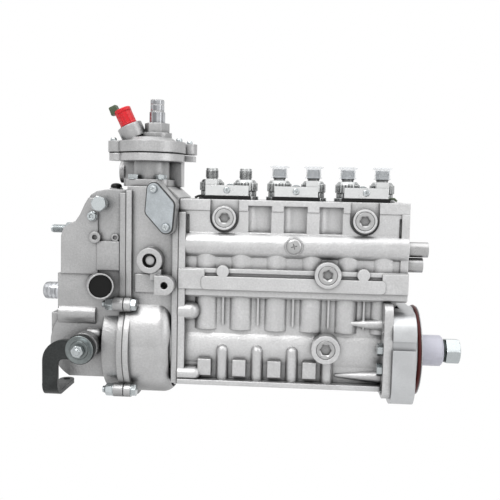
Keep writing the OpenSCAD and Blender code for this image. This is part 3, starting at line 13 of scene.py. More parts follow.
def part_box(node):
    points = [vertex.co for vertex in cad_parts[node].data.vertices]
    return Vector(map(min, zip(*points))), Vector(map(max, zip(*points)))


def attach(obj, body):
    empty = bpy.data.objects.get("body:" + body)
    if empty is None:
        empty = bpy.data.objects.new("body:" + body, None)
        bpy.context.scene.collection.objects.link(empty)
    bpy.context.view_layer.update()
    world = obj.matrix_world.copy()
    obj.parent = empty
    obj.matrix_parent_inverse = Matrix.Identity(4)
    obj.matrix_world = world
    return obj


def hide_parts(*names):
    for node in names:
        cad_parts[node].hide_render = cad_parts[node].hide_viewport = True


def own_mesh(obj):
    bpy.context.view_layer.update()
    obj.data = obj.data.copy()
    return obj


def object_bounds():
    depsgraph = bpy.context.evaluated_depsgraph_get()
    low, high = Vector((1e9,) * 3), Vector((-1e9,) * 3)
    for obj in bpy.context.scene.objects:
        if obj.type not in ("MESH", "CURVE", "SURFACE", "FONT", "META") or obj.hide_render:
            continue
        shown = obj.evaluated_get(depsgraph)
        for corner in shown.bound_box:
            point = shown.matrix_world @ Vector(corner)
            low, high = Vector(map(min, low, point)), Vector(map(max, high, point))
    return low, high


# Pieces are drawn in millimetres, as in the part's source. Blender's own lengths are metres.
MM = 0.001
# Turns of a flat outline: STANDING lets its thickness run along -Y, and ALONG_X along +X.
STANDING = Matrix.Rotation(math.radians(90), 4, "X")
ALONG_X = Matrix(((0, 0, 1, 0), (1, 0, 0, 0), (0, 1, 0, 0), (0, 0, 0, 1)))

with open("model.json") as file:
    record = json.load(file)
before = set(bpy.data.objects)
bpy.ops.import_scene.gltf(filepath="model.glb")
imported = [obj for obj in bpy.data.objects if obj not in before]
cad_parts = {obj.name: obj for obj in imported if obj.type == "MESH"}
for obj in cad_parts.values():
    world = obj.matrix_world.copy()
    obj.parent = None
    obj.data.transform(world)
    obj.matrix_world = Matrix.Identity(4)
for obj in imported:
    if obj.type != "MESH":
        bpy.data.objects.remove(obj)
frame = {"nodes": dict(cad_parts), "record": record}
NODES = frame["nodes"]
cad_low, cad_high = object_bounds()
rng = random.Random(11)
MATERIALS = {}
Point = collections.namedtuple("Point", "x y z")


# What the frame says of the CAD nodes
def on_grid(corner):
    """A corner in millimetres, rounded to the source's steps of 0.1 mm, so that facets don't shift it."""
    return Point(*(round(value / MM, 1) for value in corner))


def node_box(node):
    """Lower and upper corner of a CAD node."""
    low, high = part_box(node)
    return on_grid(low), on_grid(high)


def middle(box):
    """Centre of a box."""
    return Point(*((low + high) / 2 for low, high in zip(*box)))


def solid_boxes(node):
    """Lower and upper corner of each separate solid in a CAD node, from left to right."""
    obj = NODES[node]
    bm = bmesh.new()
    bm.from_mesh(obj.data)
    bmesh.ops.remove_doubles(bm, verts=bm.verts, dist=MM / 1000)
    unseen = set(bm.verts)
    boxes = []
    while unseen:
        solid = [unseen.pop()]
        for vertex in solid:
            for edge in vertex.link_edges:
                other = edge.other_vert(vertex)
                if other in unseen:
                    unseen.remove(other)
                    solid.append(other)
        places = [obj.matrix_world @ vertex.co for vertex in solid]
        low = on_grid(min(place[axis] for place in places) for axis in range(3))
        high = on_grid(max(place[axis] for place in places) for axis in range(3))
        boxes.append((low, high))
    bm.free()
    return sorted(boxes)


# Camera
def make_camera():
    """The photograph's camera, solved from the pump's straight edges and the pitch of its unions."""
    azimuth = math.radians(3.7)
    elevation = math.radians(5.0)
    roll = math.radians(1.23)
    distance = 0.650
    aim = Vector((-0.151, 0.0, 0.091))
    away = Vector((-math.sin(azimuth) * math.cos(elevation),
                   math.cos(azimuth) * math.cos(elevation),
                   -math.sin(elevation)))
    data = bpy.data.cameras.new("camera")
    data.lens = 48.96
    data.sensor_width = 36.0
    camera = bpy.data.objects.new("camera", data)
    bpy.context.scene.collection.objects.link(camera)
    camera.rotation_mode = "QUATERNION"
    camera.location = aim - away * distance
    camera.rotation_quaternion = away.to_track_quat("-Z", "Y") @ Quaternion((0, 0, 1), roll)
    bpy.context.scene.camera = camera


# Shader nodes
def new_material(name):
    material = bpy.data.materials.new(name)
    material.use_nodes = True
    tree = material.node_tree
    return material, tree, tree.nodes["Principled BSDF"]


def noise(tree, coords, scale, detail=2.0, rough=0.5, stretch=None):
    """Noise from 0 to 1, stretched along an axis whose factor is small."""
    source = coords
    if stretch is not None:
        mapping = tree.nodes.new("ShaderNodeMapping")
        mapping.inputs["Scale"].default_value = stretch
        tree.links.new(coords, mapping.inputs["Vector"])
        source = mapping.outputs["Vector"]
    node = tree.nodes.new("ShaderNodeTexNoise")
    node.inputs["Scale"].default_value = scale
    node.inputs["Detail"].default_value = detail
    node.inputs["Roughness"].default_value = rough
    tree.links.new(source, node.inputs["Vector"])
    return node.outputs["Fac"]


def spread(tree, value, low, high, start=0.35, stop=0.65):
    """Maps a value from start..stop to low..high."""
    node = tree.nodes.new("ShaderNodeMapRange")
    node.inputs["From Min"].default_value = start
    node.inputs["From Max"].default_value = stop
    node.inputs["To Min"].default_value = low
    node.inputs["To Max"].default_value = high
    tree.links.new(value, node.inputs["Value"])
    return node.outputs["Result"]


def blend_colours(tree, factor, first, second):
    """Mixes two colours, each a socket or a constant, by a factor that is a socket."""
    node = tree.nodes.new("ShaderNodeMix")
    node.data_type = "RGBA"
    tree.links.new(factor, node.inputs[0])
    for colour, socket in ((first, node.inputs[6]), (second, node.inputs[7])):
        if isinstance(colour, bpy.types.NodeSocket):
            tree.links.new(colour, socket)
        else:
            socket.default_value = (*colour, 1.0)
    return node.outputs[2]


def mix_shaders(tree, factor, first, second):
    """The first shader where the factor is 0, and the second where it is 1."""
    node = tree.nodes.new("ShaderNodeMixShader")
    tree.links.new(factor, node.inputs[0])
    tree.links.new(first, node.inputs[1])
    tree.links.new(second, node.inputs[2])
    return node.outputs[0]


def scaled(colour, factor):
    """A darker or brighter colour."""
    return tuple(min(1.0, channel * factor) for channel in colour)


def worn_and_highlit_edges(tree, soft_normal, amount):
    """Wear and painted highlight on edges: the amount where the softened normal leaves the face's own, and 0
    on flat faces.
    """
    brightest_edge_cosine, flat = 0.82, 1.0
    face = tree.nodes.new("ShaderNodeNewGeometry")
    dot = tree.nodes.new("ShaderNodeVectorMath")
    dot.operation = "DOT_PRODUCT"
    tree.links.new(soft_normal, dot.inputs[0])
    tree.links.new(face.outputs["Normal"], dot.inputs[1])
    return spread(tree, dot.outputs["Value"], amount, 0.0, brightest_edge_cosine, flat)


def shaded(tree, tone, darker, amount, reach, start, stop):
    """Paints shade: blends a tone towards a darker colour as openness to the sky falls from stop to start."""
    cover = tree.nodes.new("ShaderNodeAmbientOcclusion")
    cover.samples = 6
    cover.inputs["Distance"].default_value = reach
    return blend_colours(tree, spread(tree, cover.outputs["AO"], amount, 0.0, start, stop), tone, darker)


def bumped(tree, normal, height, strength, distance):
    """A normal with bumps of a height given by a socket."""
    node = tree.nodes.new("ShaderNodeBump")
    node.inputs["Strength"].default_value = strength
    node.inputs["Distance"].default_value = distance
    tree.links.new(height, node.inputs["Height"])
    tree.links.new(normal, node.inputs["Normal"])
    return node.outputs["Normal"]


# Materials
def surface(name, colour, rough=0.4, metal=1.0, spec=None,
            vary=0.06, patch_scale=45.0, speck=0.3, grain=0.0, grain_scale=900.0, brushed=None, wear=0.0,
            edge=0.0006, rub_and_highlight=0.0, dirt=0.55, dirt_reach=0.004, recess_shade=0.0, recess_shade_reach=0.02):
    """Cast, plated, ground or moulded surface.

    The tone changes in patches by the share vary, with grains as dark as speck says. grain and wear are the
    strengths of fine and broad bumps, and brushed stretches the grain. edge is the radius of softened edges
    and rub how bright they are painted, partly as wear and partly as a painted highlight. dirt paints
    shade into corners and hollow paints shade into wide recesses, each out to its reach.
    Radius and reaches are in metres.
    """
    # Colours of the bright edges (wear and painted highlight), of painted shade in wide recesses and of
    # painted shade in corners.
    rubbed_and_highlit, recess_shade_colour, dirtied = scaled(colour, 1.25), scaled(colour, 0.22), scaled(colour, 0.12)
    material, tree, shader = new_material(name)
    coords = tree.nodes.new("ShaderNodeTexCoord").outputs["Object"]
    patches = noise(tree, coords, patch_scale, 4.0, 0.6)
    fine = noise(tree, coords, grain_scale, 2.0, 0.55, brushed)
    mottled = spread(tree, patches, 0.0, 1.0)
    tone = blend_colours(tree, mottled, scaled(colour, 1 - vary), scaled(colour, 1 + vary))
    tone = blend_colours(tree, spread(tree, fine, 0.0, speck), tone, scaled(colour, 1 - 3 * vary))
    soft = tree.nodes.new("ShaderNodeBevel")
    soft.samples = 4
    soft.inputs["Radius"].default_value = edge
    normal = soft.outputs["Normal"]
    # Edges are painted brighter, partly as wear and partly as a painted highlight.
    if rub_and_highlight:
        tone = blend_colours(tree, worn_and_highlit_edges(tree, normal, rub_and_highlight), tone, rubbed_and_highlit)
    # Painted shade: the tone darkens where ambient occlusion finds wide recesses.
    if recess_shade:
        tone = shaded(tree, tone, recess_shade_colour, recess_shade, recess_shade_reach, 0.15, 0.90)
    # Painted shade: the tone darkens in corners and crevices, found by ambient occlusion over a short reach.
    if dirt:
        tone = shaded(tree, tone, dirtied, dirt, dirt_reach, 0.30, 0.85)
    if wear:
        dents = noise(tree, coords, 150.0, 3.0, 0.55)
        normal = bumped(tree, normal, dents, wear, 0.001)
    if grain:
        normal = bumped(tree, normal, fine, grain, 0.0003)
    tree.links.new(tone, shader.inputs["Base Color"])
    tree.links.new(spread(tree, patches, rough * 0.85, min(1.0, rough * 1.2)), shader.inputs["Roughness"])
    tree.links.new(normal, shader.inputs["Normal"])
    shader.inputs["Metallic"].default_value = metal
    if spec is not None:
        shader.inputs["Specular IOR Level"].default_value = spec
    MATERIALS[name] = material


def casting(name, tone):
    """Bare cast aluminium with a sandy skin, painted shade in its hollows and edges painted brighter, partly
    as wear and partly as a painted highlight.
    """
    surface(name, (tone, tone, tone * 1.005), 0.36, 0.72, vary=0.07, speck=0.5, grain=0.75, grain_scale=620.0,
            wear=0.14, edge=0.0014, rub_and_highlight=0.6, dirt=0.95, dirt_reach=0.005, recess_shade=0.85, recess_shade_reach=0.026)


def moulded(name, colour, rough, **details):
    """Rubber, plastic or fibre."""
    surface(name, colour, rough, metal=0.0, **details)


def clear_plastic(name, colour, cloud, cover):
    """Thin milky plastic that what lies inside shows through."""
    material, tree, shader = new_material(name)
    coords = tree.nodes.new("ShaderNodeTexCoord").outputs["Object"]
    cloudy = noise(tree, coords, 160.0, 3.0)
    tone = blend_colours(tree, spread(tree, cloudy, 0.0, 1.0), colour, cloud)
    tree.links.new(tone, shader.inputs["Base Color"])
    tree.links.new(spread(tree, cloudy, 0.14, 0.24), shader.inputs["Roughness"])
    shader.inputs["Alpha"].default_value = cover
    MATERIALS[name] = material


# In the materials below, dirt and hollow paint shade into corners and recesses, and rub paints edges
# brighter, partly as wear and partly as a painted highlight.
def cast_metals():
    """Castings, the machined flange and the pressed lever."""
    casting("pump_cast", 0.63)
    casting("governor_cast", 0.54)
    casting("cover_cast", 0.46)
    surface("flange_metal", (0.56, 0.57, 0.58), 0.34, 0.85, grain=0.12, wear=0.06,
            edge=0.0010, rub_and_highlight=0.4, recess_shade=0.4)
    surface("lever_iron", (0.045, 0.048, 0.048), 0.40, 0.75, vary=0.25, grain=0.6, grain_scale=700.0,
            wear=0.25, edge=0.0009, rub_and_highlight=0.35)


def plated_metals():
    """Fasteners, clamps, plate and washer."""
    surface("zinc", (0.47, 0.50, 0.51), 0.24, vary=0.05, patch_scale=160.0, grain=0.05, grain_scale=400.0,
            edge=0.0004, dirt=0.7, dirt_reach=0.003)
    surface("clamp_zinc", (0.70, 0.71, 0.71), 0.30, 0.55, grain=0.12, grain_scale=600.0,
            dirt=0.9, dirt_reach=0.003)
    surface("plate_zinc", (0.42, 0.45, 0.47), 0.34, vary=0.12, patch_scale=90.0, grain=0.35,
            edge=0.0005, dirt=0.8, dirt_reach=0.003)
    surface("washer_steel", (0.20, 0.22, 0.22), 0.28, vary=0.15, grain=0.2, grain_scale=500.0,
            dirt=0.8, dirt_reach=0.003)
    surface("nickel", (0.45, 0.45, 0.45), 0.30, patch_scale=160.0, grain=0.05, grain_scale=400.0,
            edge=0.0004, dirt=0.95, dirt_reach=0.009)


def machined_steels():
    """Turned, ground and drawn steel."""
    surface("turned_steel", (0.50, 0.51, 0.53), 0.20, vary=0.22, speck=0.9, grain_scale=330.0,
            brushed=(1.0, 1.0, 0.05), edge=0.0004, dirt=0.9)
    surface("steel", (0.40, 0.41, 0.42), 0.30, grain=0.10, brushed=(0.15, 1.0, 1.0), edge=0.0003)
    surface("holder_steel", (0.45, 0.46, 0.46), 0.24, 0.95, vary=0.08, grain=0.06, grain_scale=500.0,
            edge=0.0003, dirt=0.9, dirt_reach=0.005)
    surface("dark_steel", (0.05, 0.06, 0.06), 0.38, grain=0.12, edge=0.0003)
    surface("spring_wire", (0.45, 0.46, 0.48), 0.28, edge=0.0002, dirt=0.3)


def rubbers_and_plastics():
    """Gaskets, seals, caps and sleeves."""
    moulded("gasket_fibre", (0.10, 0.10, 0.10), 0.8, grain=0.3, edge=0.0002)
    moulded("seal_rubber", (0.085, 0.010, 0.008), 0.34, spec=0.25, grain=0.05, edge=0.0002)
    moulded("black_rubber", (0.015, 0.015, 0.015), 0.5, spec=0.2, grain=0.15, edge=0.0003)
    moulded("black_plastic", (0.008, 0.008, 0.008), 0.30, spec=0.18, grain=0.05, edge=0.0005)
    moulded("sleeve_plastic", (0.60, 0.60, 0.68), 0.36, grain=0.05, dirt=0.3)
    moulded("red_plastic", (0.74, 0.010, 0.020), 0.3, grain=0.04, edge=0.0005, dirt=0.3)
    moulded("olive_plastic", (0.05, 0.075, 0.035), 0.45, grain=0.05, edge=0.0004)
    clear_plastic("cap_plastic", (0.90, 0.94, 0.98), (0.93, 0.96, 0.99), 0.31)


def dress_nodes():
    """Gives each CAD node the material of its slot, and the plate and the clamps their own zinc."""
    slots = {part["node"]: part["material_slot"] for part in frame["record"]["subparts"]}
    slots["blanking_plate"] = "plate_zinc"
    slots["holder_clamps"] = "clamp_zinc"
    for name, obj in NODES.items():
        obj.data.materials.clear()
        obj.data.materials.append(MATERIALS[slots[name]])


# Light and floor
def seen_rays(tree):
    """1 for a ray from the camera or from a mirror or glass, 0 for light that falls on the object."""
    path = tree.nodes.new("ShaderNodeLightPath")
    value = path.outputs["Is Camera Ray"]
    for name in ("Is Glossy Ray", "Is Transmission Ray"):
        larger = tree.nodes.new("ShaderNodeMath")
        larger.operation = "MAXIMUM"
        tree.links.new(value, larger.inputs[0])
        tree.links.new(path.outputs[name], larger.inputs[1])
        value = larger.outputs[0]
    return value


def sky_by_height(tree, height):
    """Grey of the sky, dark below the horizon and bright overhead."""
    ramp = tree.nodes.new("ShaderNodeValToRGB")
    elements = ramp.color_ramp.elements
    stops = ((0.0, 0.05), (0.42, 0.08), (0.50, 0.24), (0.60, 0.62), (0.78, 0.95), (1.0, 1.1))
    for element, (place, level) in zip(elements, (stops[0], stops[-1])):
        element.position = place
        element.color = (level, level, level, 1)
    for place, level in stops[1:-1]:
        elements.new(place).color = (level, level, level, 1)
    tree.links.new(spread(tree, height, 0.0, 1.0, -1.0, 1.0), ramp.inputs["Fac"])
    return ramp.outputs["Color"]


def make_world():
    """Soft sky, darker to the left and right, behind a background that is seen as white."""
    world = bpy.data.worlds.new("studio")
    bpy.context.scene.world = world
    world.use_nodes = True
    tree = world.node_tree
    tree.nodes.clear()
    coords = tree.nodes.new("ShaderNodeTexCoord").outputs["Generated"]
    split = tree.nodes.new("ShaderNodeSeparateXYZ")
    tree.links.new(coords, split.inputs[0])
    aside = tree.nodes.new("ShaderNodeMath")
    aside.operation = "ABSOLUTE"
    tree.links.new(split.outputs["X"], aside.inputs[0])
    sides = tree.nodes.new("ShaderNodeVectorMath")
    sides.operation = "SCALE"
    tree.links.new(sky_by_height(tree, split.outputs["Z"]), sides.inputs[0])
    tree.links.new(spread(tree, aside.outputs[0], 1.0, 0.22, 0.45, 0.95), sides.inputs["Scale"])
    soft = tree.nodes.new("ShaderNodeBackground")
    soft.inputs["Strength"].default_value = 0.34
    tree.links.new(sides.outputs["Vector"], soft.inputs["Color"])
    white = tree.nodes.new("ShaderNodeBackground")
    white.inputs["Color"].default_value = (1, 1, 1, 1)
    white.inputs["Strength"].default_value = 1.0
    output = tree.nodes.new("ShaderNodeOutputWorld")
    mixed = mix_shaders(tree, seen_rays(tree), soft.outputs[0], white.outputs[0])
    tree.links.new(mixed, output.inputs["Surface"])


def lamp(name, place, size, power, colour=(1, 1, 1)):
    """Soft rectangular lamp that faces the middle of the pump."""
    centre = Vector((-0.15, 0.0, 0.06))
    data = bpy.data.lights.new(name, "AREA")
    data.shape = "RECTANGLE"
    data.size, data.size_y = size
    data.energy = power
    data.color = colour
    light = bpy.data.objects.new(name, data)
    bpy.context.scene.collection.objects.link(light)
    light.location = place
    light.rotation_mode = "QUATERNION"
    light.rotation_quaternion = (centre - Vector(place)).to_track_quat("-Z", "Y")


def make_floor():
    """Pale floor just under the pump, which keeps its shadow and is seen as white."""
    reach = 6.0
    level = cad_low.z - 0.0005
    corners = [(-reach, -reach, level), (reach, -reach, level), (reach, reach, level), (-reach, reach, level)]
    mesh = bpy.data.meshes.new("floor")
    mesh.from_pydata(corners, [], [(0, 1, 2, 3)])
    floor = bpy.data.objects.new("floor", mesh)
    bpy.context.scene.collection.objects.link(floor)
    material, tree, shader = new_material("floor")
    coords = tree.nodes.new("ShaderNodeTexCoord").outputs["Object"]
    tone = blend_colours(tree, noise(tree, coords, 3.0), (0.80, 0.80, 0.80), (0.84, 0.84, 0.84))
    tree.links.new(tone, shader.inputs["Base Color"])
    shader.inputs["Roughness"].default_value = 0.8
    glow = tree.nodes.new("ShaderNodeEmission")
    glow.inputs["Color"].default_value = (1, 1, 1, 1)
    mixed = mix_shaders(tree, seen_rays(tree), shader.outputs[0], glow.outputs[0])
    tree.links.new(mixed, tree.nodes["Material Output"].inputs["Surface"])
    mesh.materials.append(material)


def make_stage():
    """Sky, lamps and floor. A lamp's place and size are in metres, and its power is in watts."""
    view = bpy.context.scene.view_settings
    view.view_transform = "Standard"
    view.look = "None"
    make_world()
    lamp("key", (-0.55, -0.85, 1.05), (0.7, 0.45), 7.0, (1.0, 0.995, 0.99))
    lamp("side", (0.85, -0.55, 0.45), (0.5, 0.8), 2.3)
    lamp("top", (-0.15, -0.10, 1.10), (2.2, 1.2), 10.5)
    lamp("front", (-0.30, -1.25, 0.15), (0.9, 0.3), 0.4)
    make_floor()


# Outlines and profiles, as lists of points
def on_circle(radius, angle):
    return radius * math.cos(angle), radius * math.sin(angle)


def ring_points(radius, count):
    return [on_circle(radius, 2 * math.pi * k / count) for k in range(count)]


def pull(point, share):
    """Moves a point towards the origin or away from it."""
    return point[0] * share, point[1] * share


def resized(points, share):
    return [pull(point, share) for point in points]


def arc(centre, radius, start, stop, count=14):
    """Points along an arc, its angles in degrees."""
    points = []
    for k in range(count + 1):
        x, y = on_circle(radius, math.radians(start + (stop - start) * k / count))
        points.append((centre[0] + x, centre[1] + y))
    return points


def hexagon(flats, count=48):
    """Points round a hexagon, many to a side, so that it can run over into a circle."""
    points = []
    for k in range(count):
        angle = 2 * math.pi * k / count
        from_flat = (angle + math.pi / 6) % (math.pi / 3) - math.pi / 6
        points.append(on_circle(flats / 2 / math.cos(from_flat), angle))
    return points


def cross(radius, arm, count=48):
    """Points round a cross recess with arms that reach to a share of the radius."""
    half_arm = math.radians(13)
    core = 0.17
    points = []
    for k in range(count):
        angle = 2 * math.pi * k / count
        from_arm = abs((angle + math.pi / 4) % (math.pi / 2) - math.pi / 4)
        points.append(on_circle(radius * (arm if from_arm < half_arm else core), angle))
    return points


def trimmed(points, limit):
    """The outline with what stands out past a radius turned off."""
    return [pull(point, min(1.0, limit / math.hypot(*point))) for point in points]


def serrated(radius, root, teeth):
    """Points of a ring with teeth along its axis."""
    step = 2 * math.pi / teeth
    points = []
    for k in range(teeth):
        for share, reach in ((0.0, root), (0.2, root), (0.35, radius), (0.85, radius)):
            points.append(on_circle(reach, 2 * math.pi * k / teeth + step * share))
    return points


def slot_outline(first, second, radius, count=12):
    """Points round a slot between two centres."""
    along = math.degrees(math.atan2(second[1] - first[1], second[0] - first[0]))
    return (arc(second, radius, along - 90, along + 90, count)
            + arc(first, radius, along + 90, along + 270, count))


def thread_profile(radius, low, high, pitch=1.25, depth=0.55, chamfer=0.8):
    """Profile of a threaded end, closed on its axis."""
    root = radius - depth
    points = [(0, low), (root, low)]
    height = low + 0.2
    while height + pitch < high - chamfer:
        points += [(root, height), (radius, height + pitch * 0.38)]
        points += [(radius, height + pitch * 0.62), (root, height + pitch)]
        height += pitch
    return points + [(root, high - chamfer * 0.4), (root - chamfer * 0.5, high), (0, high)]


# Builders, which add a solid to a mesh
def make_piece(name, builders, material, body, replaces=()):
    """Makes an object from builders in millimetres and gives it its body, slot and replaced nodes."""
    sharp = math.radians(35.0)
    mesh = bpy.data.meshes.new(name)
    bm = bmesh.new()
    for build in builders:
        build(bm)
    bmesh.ops.recalc_face_normals(bm, faces=bm.faces)
    bmesh.ops.scale(bm, vec=(MM, MM, MM), verts=bm.verts)
    bm.to_mesh(mesh)
    bm.free()
    for face in mesh.polygons:
        face.use_smooth = True
    mesh.set_sharp_from_angle(angle=sharp)
    mesh.materials.append(MATERIALS[material])
    obj = bpy.data.objects.new(name, mesh)
    bpy.context.scene.collection.objects.link(obj)
    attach(obj, body)
    if replaces:
        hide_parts(*replaces)
    return obj


def move(x, y, z):
    return Matrix.Translation((x, y, z))


def put(place, direction="z", turn=0.0):
    """Moves the origin to a place and turns +Z into a direction such as '-y', spun by degrees round it."""
    way = {"x": Vector((1, 0, 0)), "y": Vector((0, 1, 0)), "z": Vector((0, 0, 1))}[direction[-1]]
    if direction[0] == "-":
        way = -way
    turned = way.to_track_quat("Z", "Y").to_matrix().to_4x4()
    return Matrix.Translation(Vector(place)) @ turned @ Matrix.Rotation(math.radians(turn), 4, "Z")


def add_rings(bm, layers, matrix):
    """Rings of vertices, one for each (height, points) pair."""
    return [[bm.verts.new(matrix @ Vector((x, y, height))) for x, y in points] for height, points in layers]


def join_rings(bm, rings, closed=False):
    """Faces between neighbouring rings of the same count, and from the last to the first when closed."""
    pairs = list(zip(rings, rings[1:]))
    if closed:
        pairs.append((rings[-1], rings[0]))
    count = len(rings[0])
    for low_ring, high_ring in pairs:
        for k in range(count):
            j = (k + 1) % count
            bm.faces.new((low_ring[k], low_ring[j], high_ring[j], high_ring[k]))


def lathe(profile, matrix, segments=48):
    """Solid turned from (radius, height) points, closed on its axis or on itself."""
    def build(bm):
        rings = add_rings(bm, [(height, ring_points(radius, segments if radius else 1))
                               for radius, height in profile], matrix)
        pairs = list(zip(rings, rings[1:]))
        if len(rings[0]) > 1 and len(rings[-1]) > 1:
            pairs.append((rings[-1], rings[0]))
        for low_ring, high_ring in pairs:
            if len(low_ring) == len(high_ring) == 1:
                continue
            for k in range(segments):
                j = (k + 1) % segments
                corners = [low_ring[k % len(low_ring)], low_ring[j % len(low_ring)],
                           high_ring[j % len(high_ring)], high_ring[k % len(high_ring)]]
                bm.faces.new(list(dict.fromkeys(corners)))
    return build


def stack(layers, matrix):
    """Solid through closed outlines of the same count, each a (height, points) pair."""
    def build(bm):
        rings = add_rings(bm, layers, matrix)
        join_rings(bm, rings)
        bm.faces.new(rings[0][::-1])
        bm.faces.new(rings[-1])
    return build


def holed_plate(outline, radius, low, high, matrix):
    """Plate round a hole at its origin; every point of the outline is seen from the hole's centre."""
    hole = [pull(point, radius / math.hypot(*point)) for point in outline]

    def build(bm):
        rings = add_rings(bm, [(low, outline), (high, outline), (high, hole), (low, hole)], matrix)
        join_rings(bm, rings, closed=True)
    return build


def tube(points, radius, segments=12):
    """Round strip along a list of points, with closed ends."""
    def build(bm):
        path = [Vector(point) for point in points]
        circle = ring_points(1.0, segments)
        rings = []
        for k, here in enumerate(path):
            ahead = (path[min(k + 1, len(path) - 1)] - path[max(k - 1, 0)]).normalized()
            upward = Vector((0, 0.02, 1)) if abs(ahead.z) < 0.7 else Vector((0, 1, 0.01))
            side = ahead.cross(upward).normalized()
            up = side.cross(ahead).normalized()
            rings.append([bm.verts.new(here + (side * x + up * y) * radius) for x, y in circle])
        join_rings(bm, rings)
        bm.faces.new(rings[0][::-1])
        bm.faces.new(rings[-1])
    return build


def rod(radius, length, matrix):
    """Plain shank of a screw or shaft."""
    return lathe([(0, 0), (radius, 0), (radius, length), (0, length)], matrix)


def hex_head(matrix, flats, height, washer=0.0, cup=0.0, stud=0.0):
    """Hexagon head with its corners turned off, a washer face, and a cup or a stud end on top."""
    hexa = hexagon(flats)
    corner = flats / 2 / math.cos(math.pi / 6)
    chamfer = corner * 0.13
    base = washer * 0.12
    builders = []
    if washer:
        face = [(0, 0), (washer, 0), (washer, base * 0.7), (washer - 0.3, base), (0, base)]
        builders.append(lathe(face, matrix))
    layers = [(base, trimmed(hexa, corner * 0.96)), (base + chamfer * 0.4, hexa), (height - chamfer, hexa),
              (height - chamfer * 0.35, trimmed(hexa, corner * 0.95)), (height, trimmed(hexa, corner * 0.86))]
    if cup:
        layers += [(height, trimmed(hexa, cup)), (height - 1.0, trimmed(hexa, cup * 0.85))]
    builders.append(stack(layers, matrix))
    if stud:
        builders.append(lathe(thread_profile(stud, height - 0.5, height + stud * 0.7), matrix, 32))
    return builders


def cross_head(matrix, radius, height, arm=0.52, deep=0.9):
    """Pan head with a cross recess."""
    recess = cross(radius, arm)
    layers = [(height * level, ring_points(radius * share, len(recess)))
              for level, share in ((0, 1.0), (0.45, 1.0), (0.8, 0.9), (1.0, 0.68))]
    return [stack(layers + [(height, recess), (height - deep, resized(recess, 0.8))], matrix)]


def socket_plug(matrix, radius, socket, depth, rim=0.5):
    """Screw plug with a rounded edge and a hexagon socket below a countersink."""
    hexa = hexagon(socket)
    count = len(hexa)
    layers = [(-depth, ring_points(radius, count)), (-rim, ring_points(radius, count)),
              (0, ring_points(radius - rim, count)), (0, ring_points(socket * 0.66, count)),
              (-0.9, trimmed(hexa, socket * 0.56)), (0.8 - depth, trimmed(hexa, socket * 0.54)),
              (0.4 - depth, resized(hexa, 0.2))]
    return [stack(layers, matrix)]


# Delivery side
def delivery_unions():
    """Valve holders: flanged base, two serrated bands, turned shoulder and threaded end with its cone."""
    base_r, low_band_r, band_r, shoulder_r, neck_r, thread_r = 12.4, 10.4, 11.5, 10.4, 5.5, 6.2
    low_band = serrated(low_band_r, low_band_r - 0.7, 22)
    band = serrated(band_r, band_r - 0.9, 24)
    worn = 0.95
    builders = []
    for box in solid_boxes("delivery_holders"):
        up = put((middle(box).x, 0, 0))
        foot = box[0].z + 1.0
        deck = foot + 14.0
        waist = deck + 5.0
        crown = waist + 8.0
        neck = crown + 4.0
        top = box[1].z
        builders.append(lathe([(0, foot), (base_r, foot), (base_r, deck - 0.1), (base_r - 0.3, deck + 0.2),
                               (10.0, deck + 0.2), (0, deck + 0.2)], up))
        builders.append(stack([(deck, low_band), (waist - 0.4, low_band),
                               (waist, resized(low_band, worn))], up))
        builders.append(stack([(waist, resized(band, worn)), (waist + 0.6, band), (crown - 0.7, band),
                               (crown, resized(band, worn))], up))
        shoulder = [(0, crown - 0.2), (shoulder_r, crown - 0.2), (shoulder_r - 0.2, crown + 0.6),
                    (8.6, crown + 2.5), (neck_r, crown + 2.5), (neck_r, neck + 0.2), (0, neck + 0.2)]
        builders.append(lathe(shoulder, up, 40))
        cone = [(3.3, top), (1.4, top - 2.8), (1.4, top - 7.0), (0, top - 7.0)]
        builders.append(lathe(thread_profile(thread_r, neck, top, 1.15, 0.6)[:-1] + cone, up, 40))
    make_piece("unions", builders, "holder_steel", "housing", ["delivery_holders"])


def transport_caps():
    """Push-on caps of the four right unions, with a lip below and a wide rim above."""
    inner_r, wall_r, lip_r, rim_r = 6.35, 7.0, 8.0, 9.2
    lip_low, wall_low, wall_high, rim_high, ceiling = 0.2, 1.6, 8.6, 11.2, 8.4
    profile = [(inner_r, lip_low), (lip_r - 0.1, lip_low), (lip_r, lip_low + 0.6), (wall_r + 0.2, wall_low),
               (wall_r, wall_high), (wall_r + 0.2, wall_high + 0.6), (rim_r - 0.3, wall_high + 0.9),
               (rim_r, wall_high + 1.5), (rim_r - 0.3, rim_high - 0.3), (7.6, rim_high),
               (6.6, rim_high - 0.6), (3.0, rim_high - 0.8), (0, rim_high - 0.8), (0, ceiling),
               (inner_r, ceiling)]
    builders = [lathe(profile, put((middle(box).x, 0, box[0].z)), 40) for box in solid_boxes("union_caps")]
    make_piece("transport_caps", builders, "cap_plastic", "housing", ["union_caps"])


def clamp_bolts():
    """Screw with a cross recess through each pair of clamps, and its nut behind."""
    front, back = node_box("holder_clamps")
    builders = []
    for box in solid_boxes("clamp_screws"):
        x, z = middle(box).x, middle(box).z
        builders.append(rod(3.05, back.y - front.y, put((x, front.y, z), "y")))
        builders += cross_head(put((x, front.y, z), "-y", 12.0), 3.0, 0.7, arm=0.5, deep=0.5)
        builders += hex_head(put((x, back.y, z), "y", 15.0), 10.0, 5.0, washer=6.5, cup=3.2)
    make_piece("clamp_bolts", builders, "zinc", "housing", ["clamp_screws"])


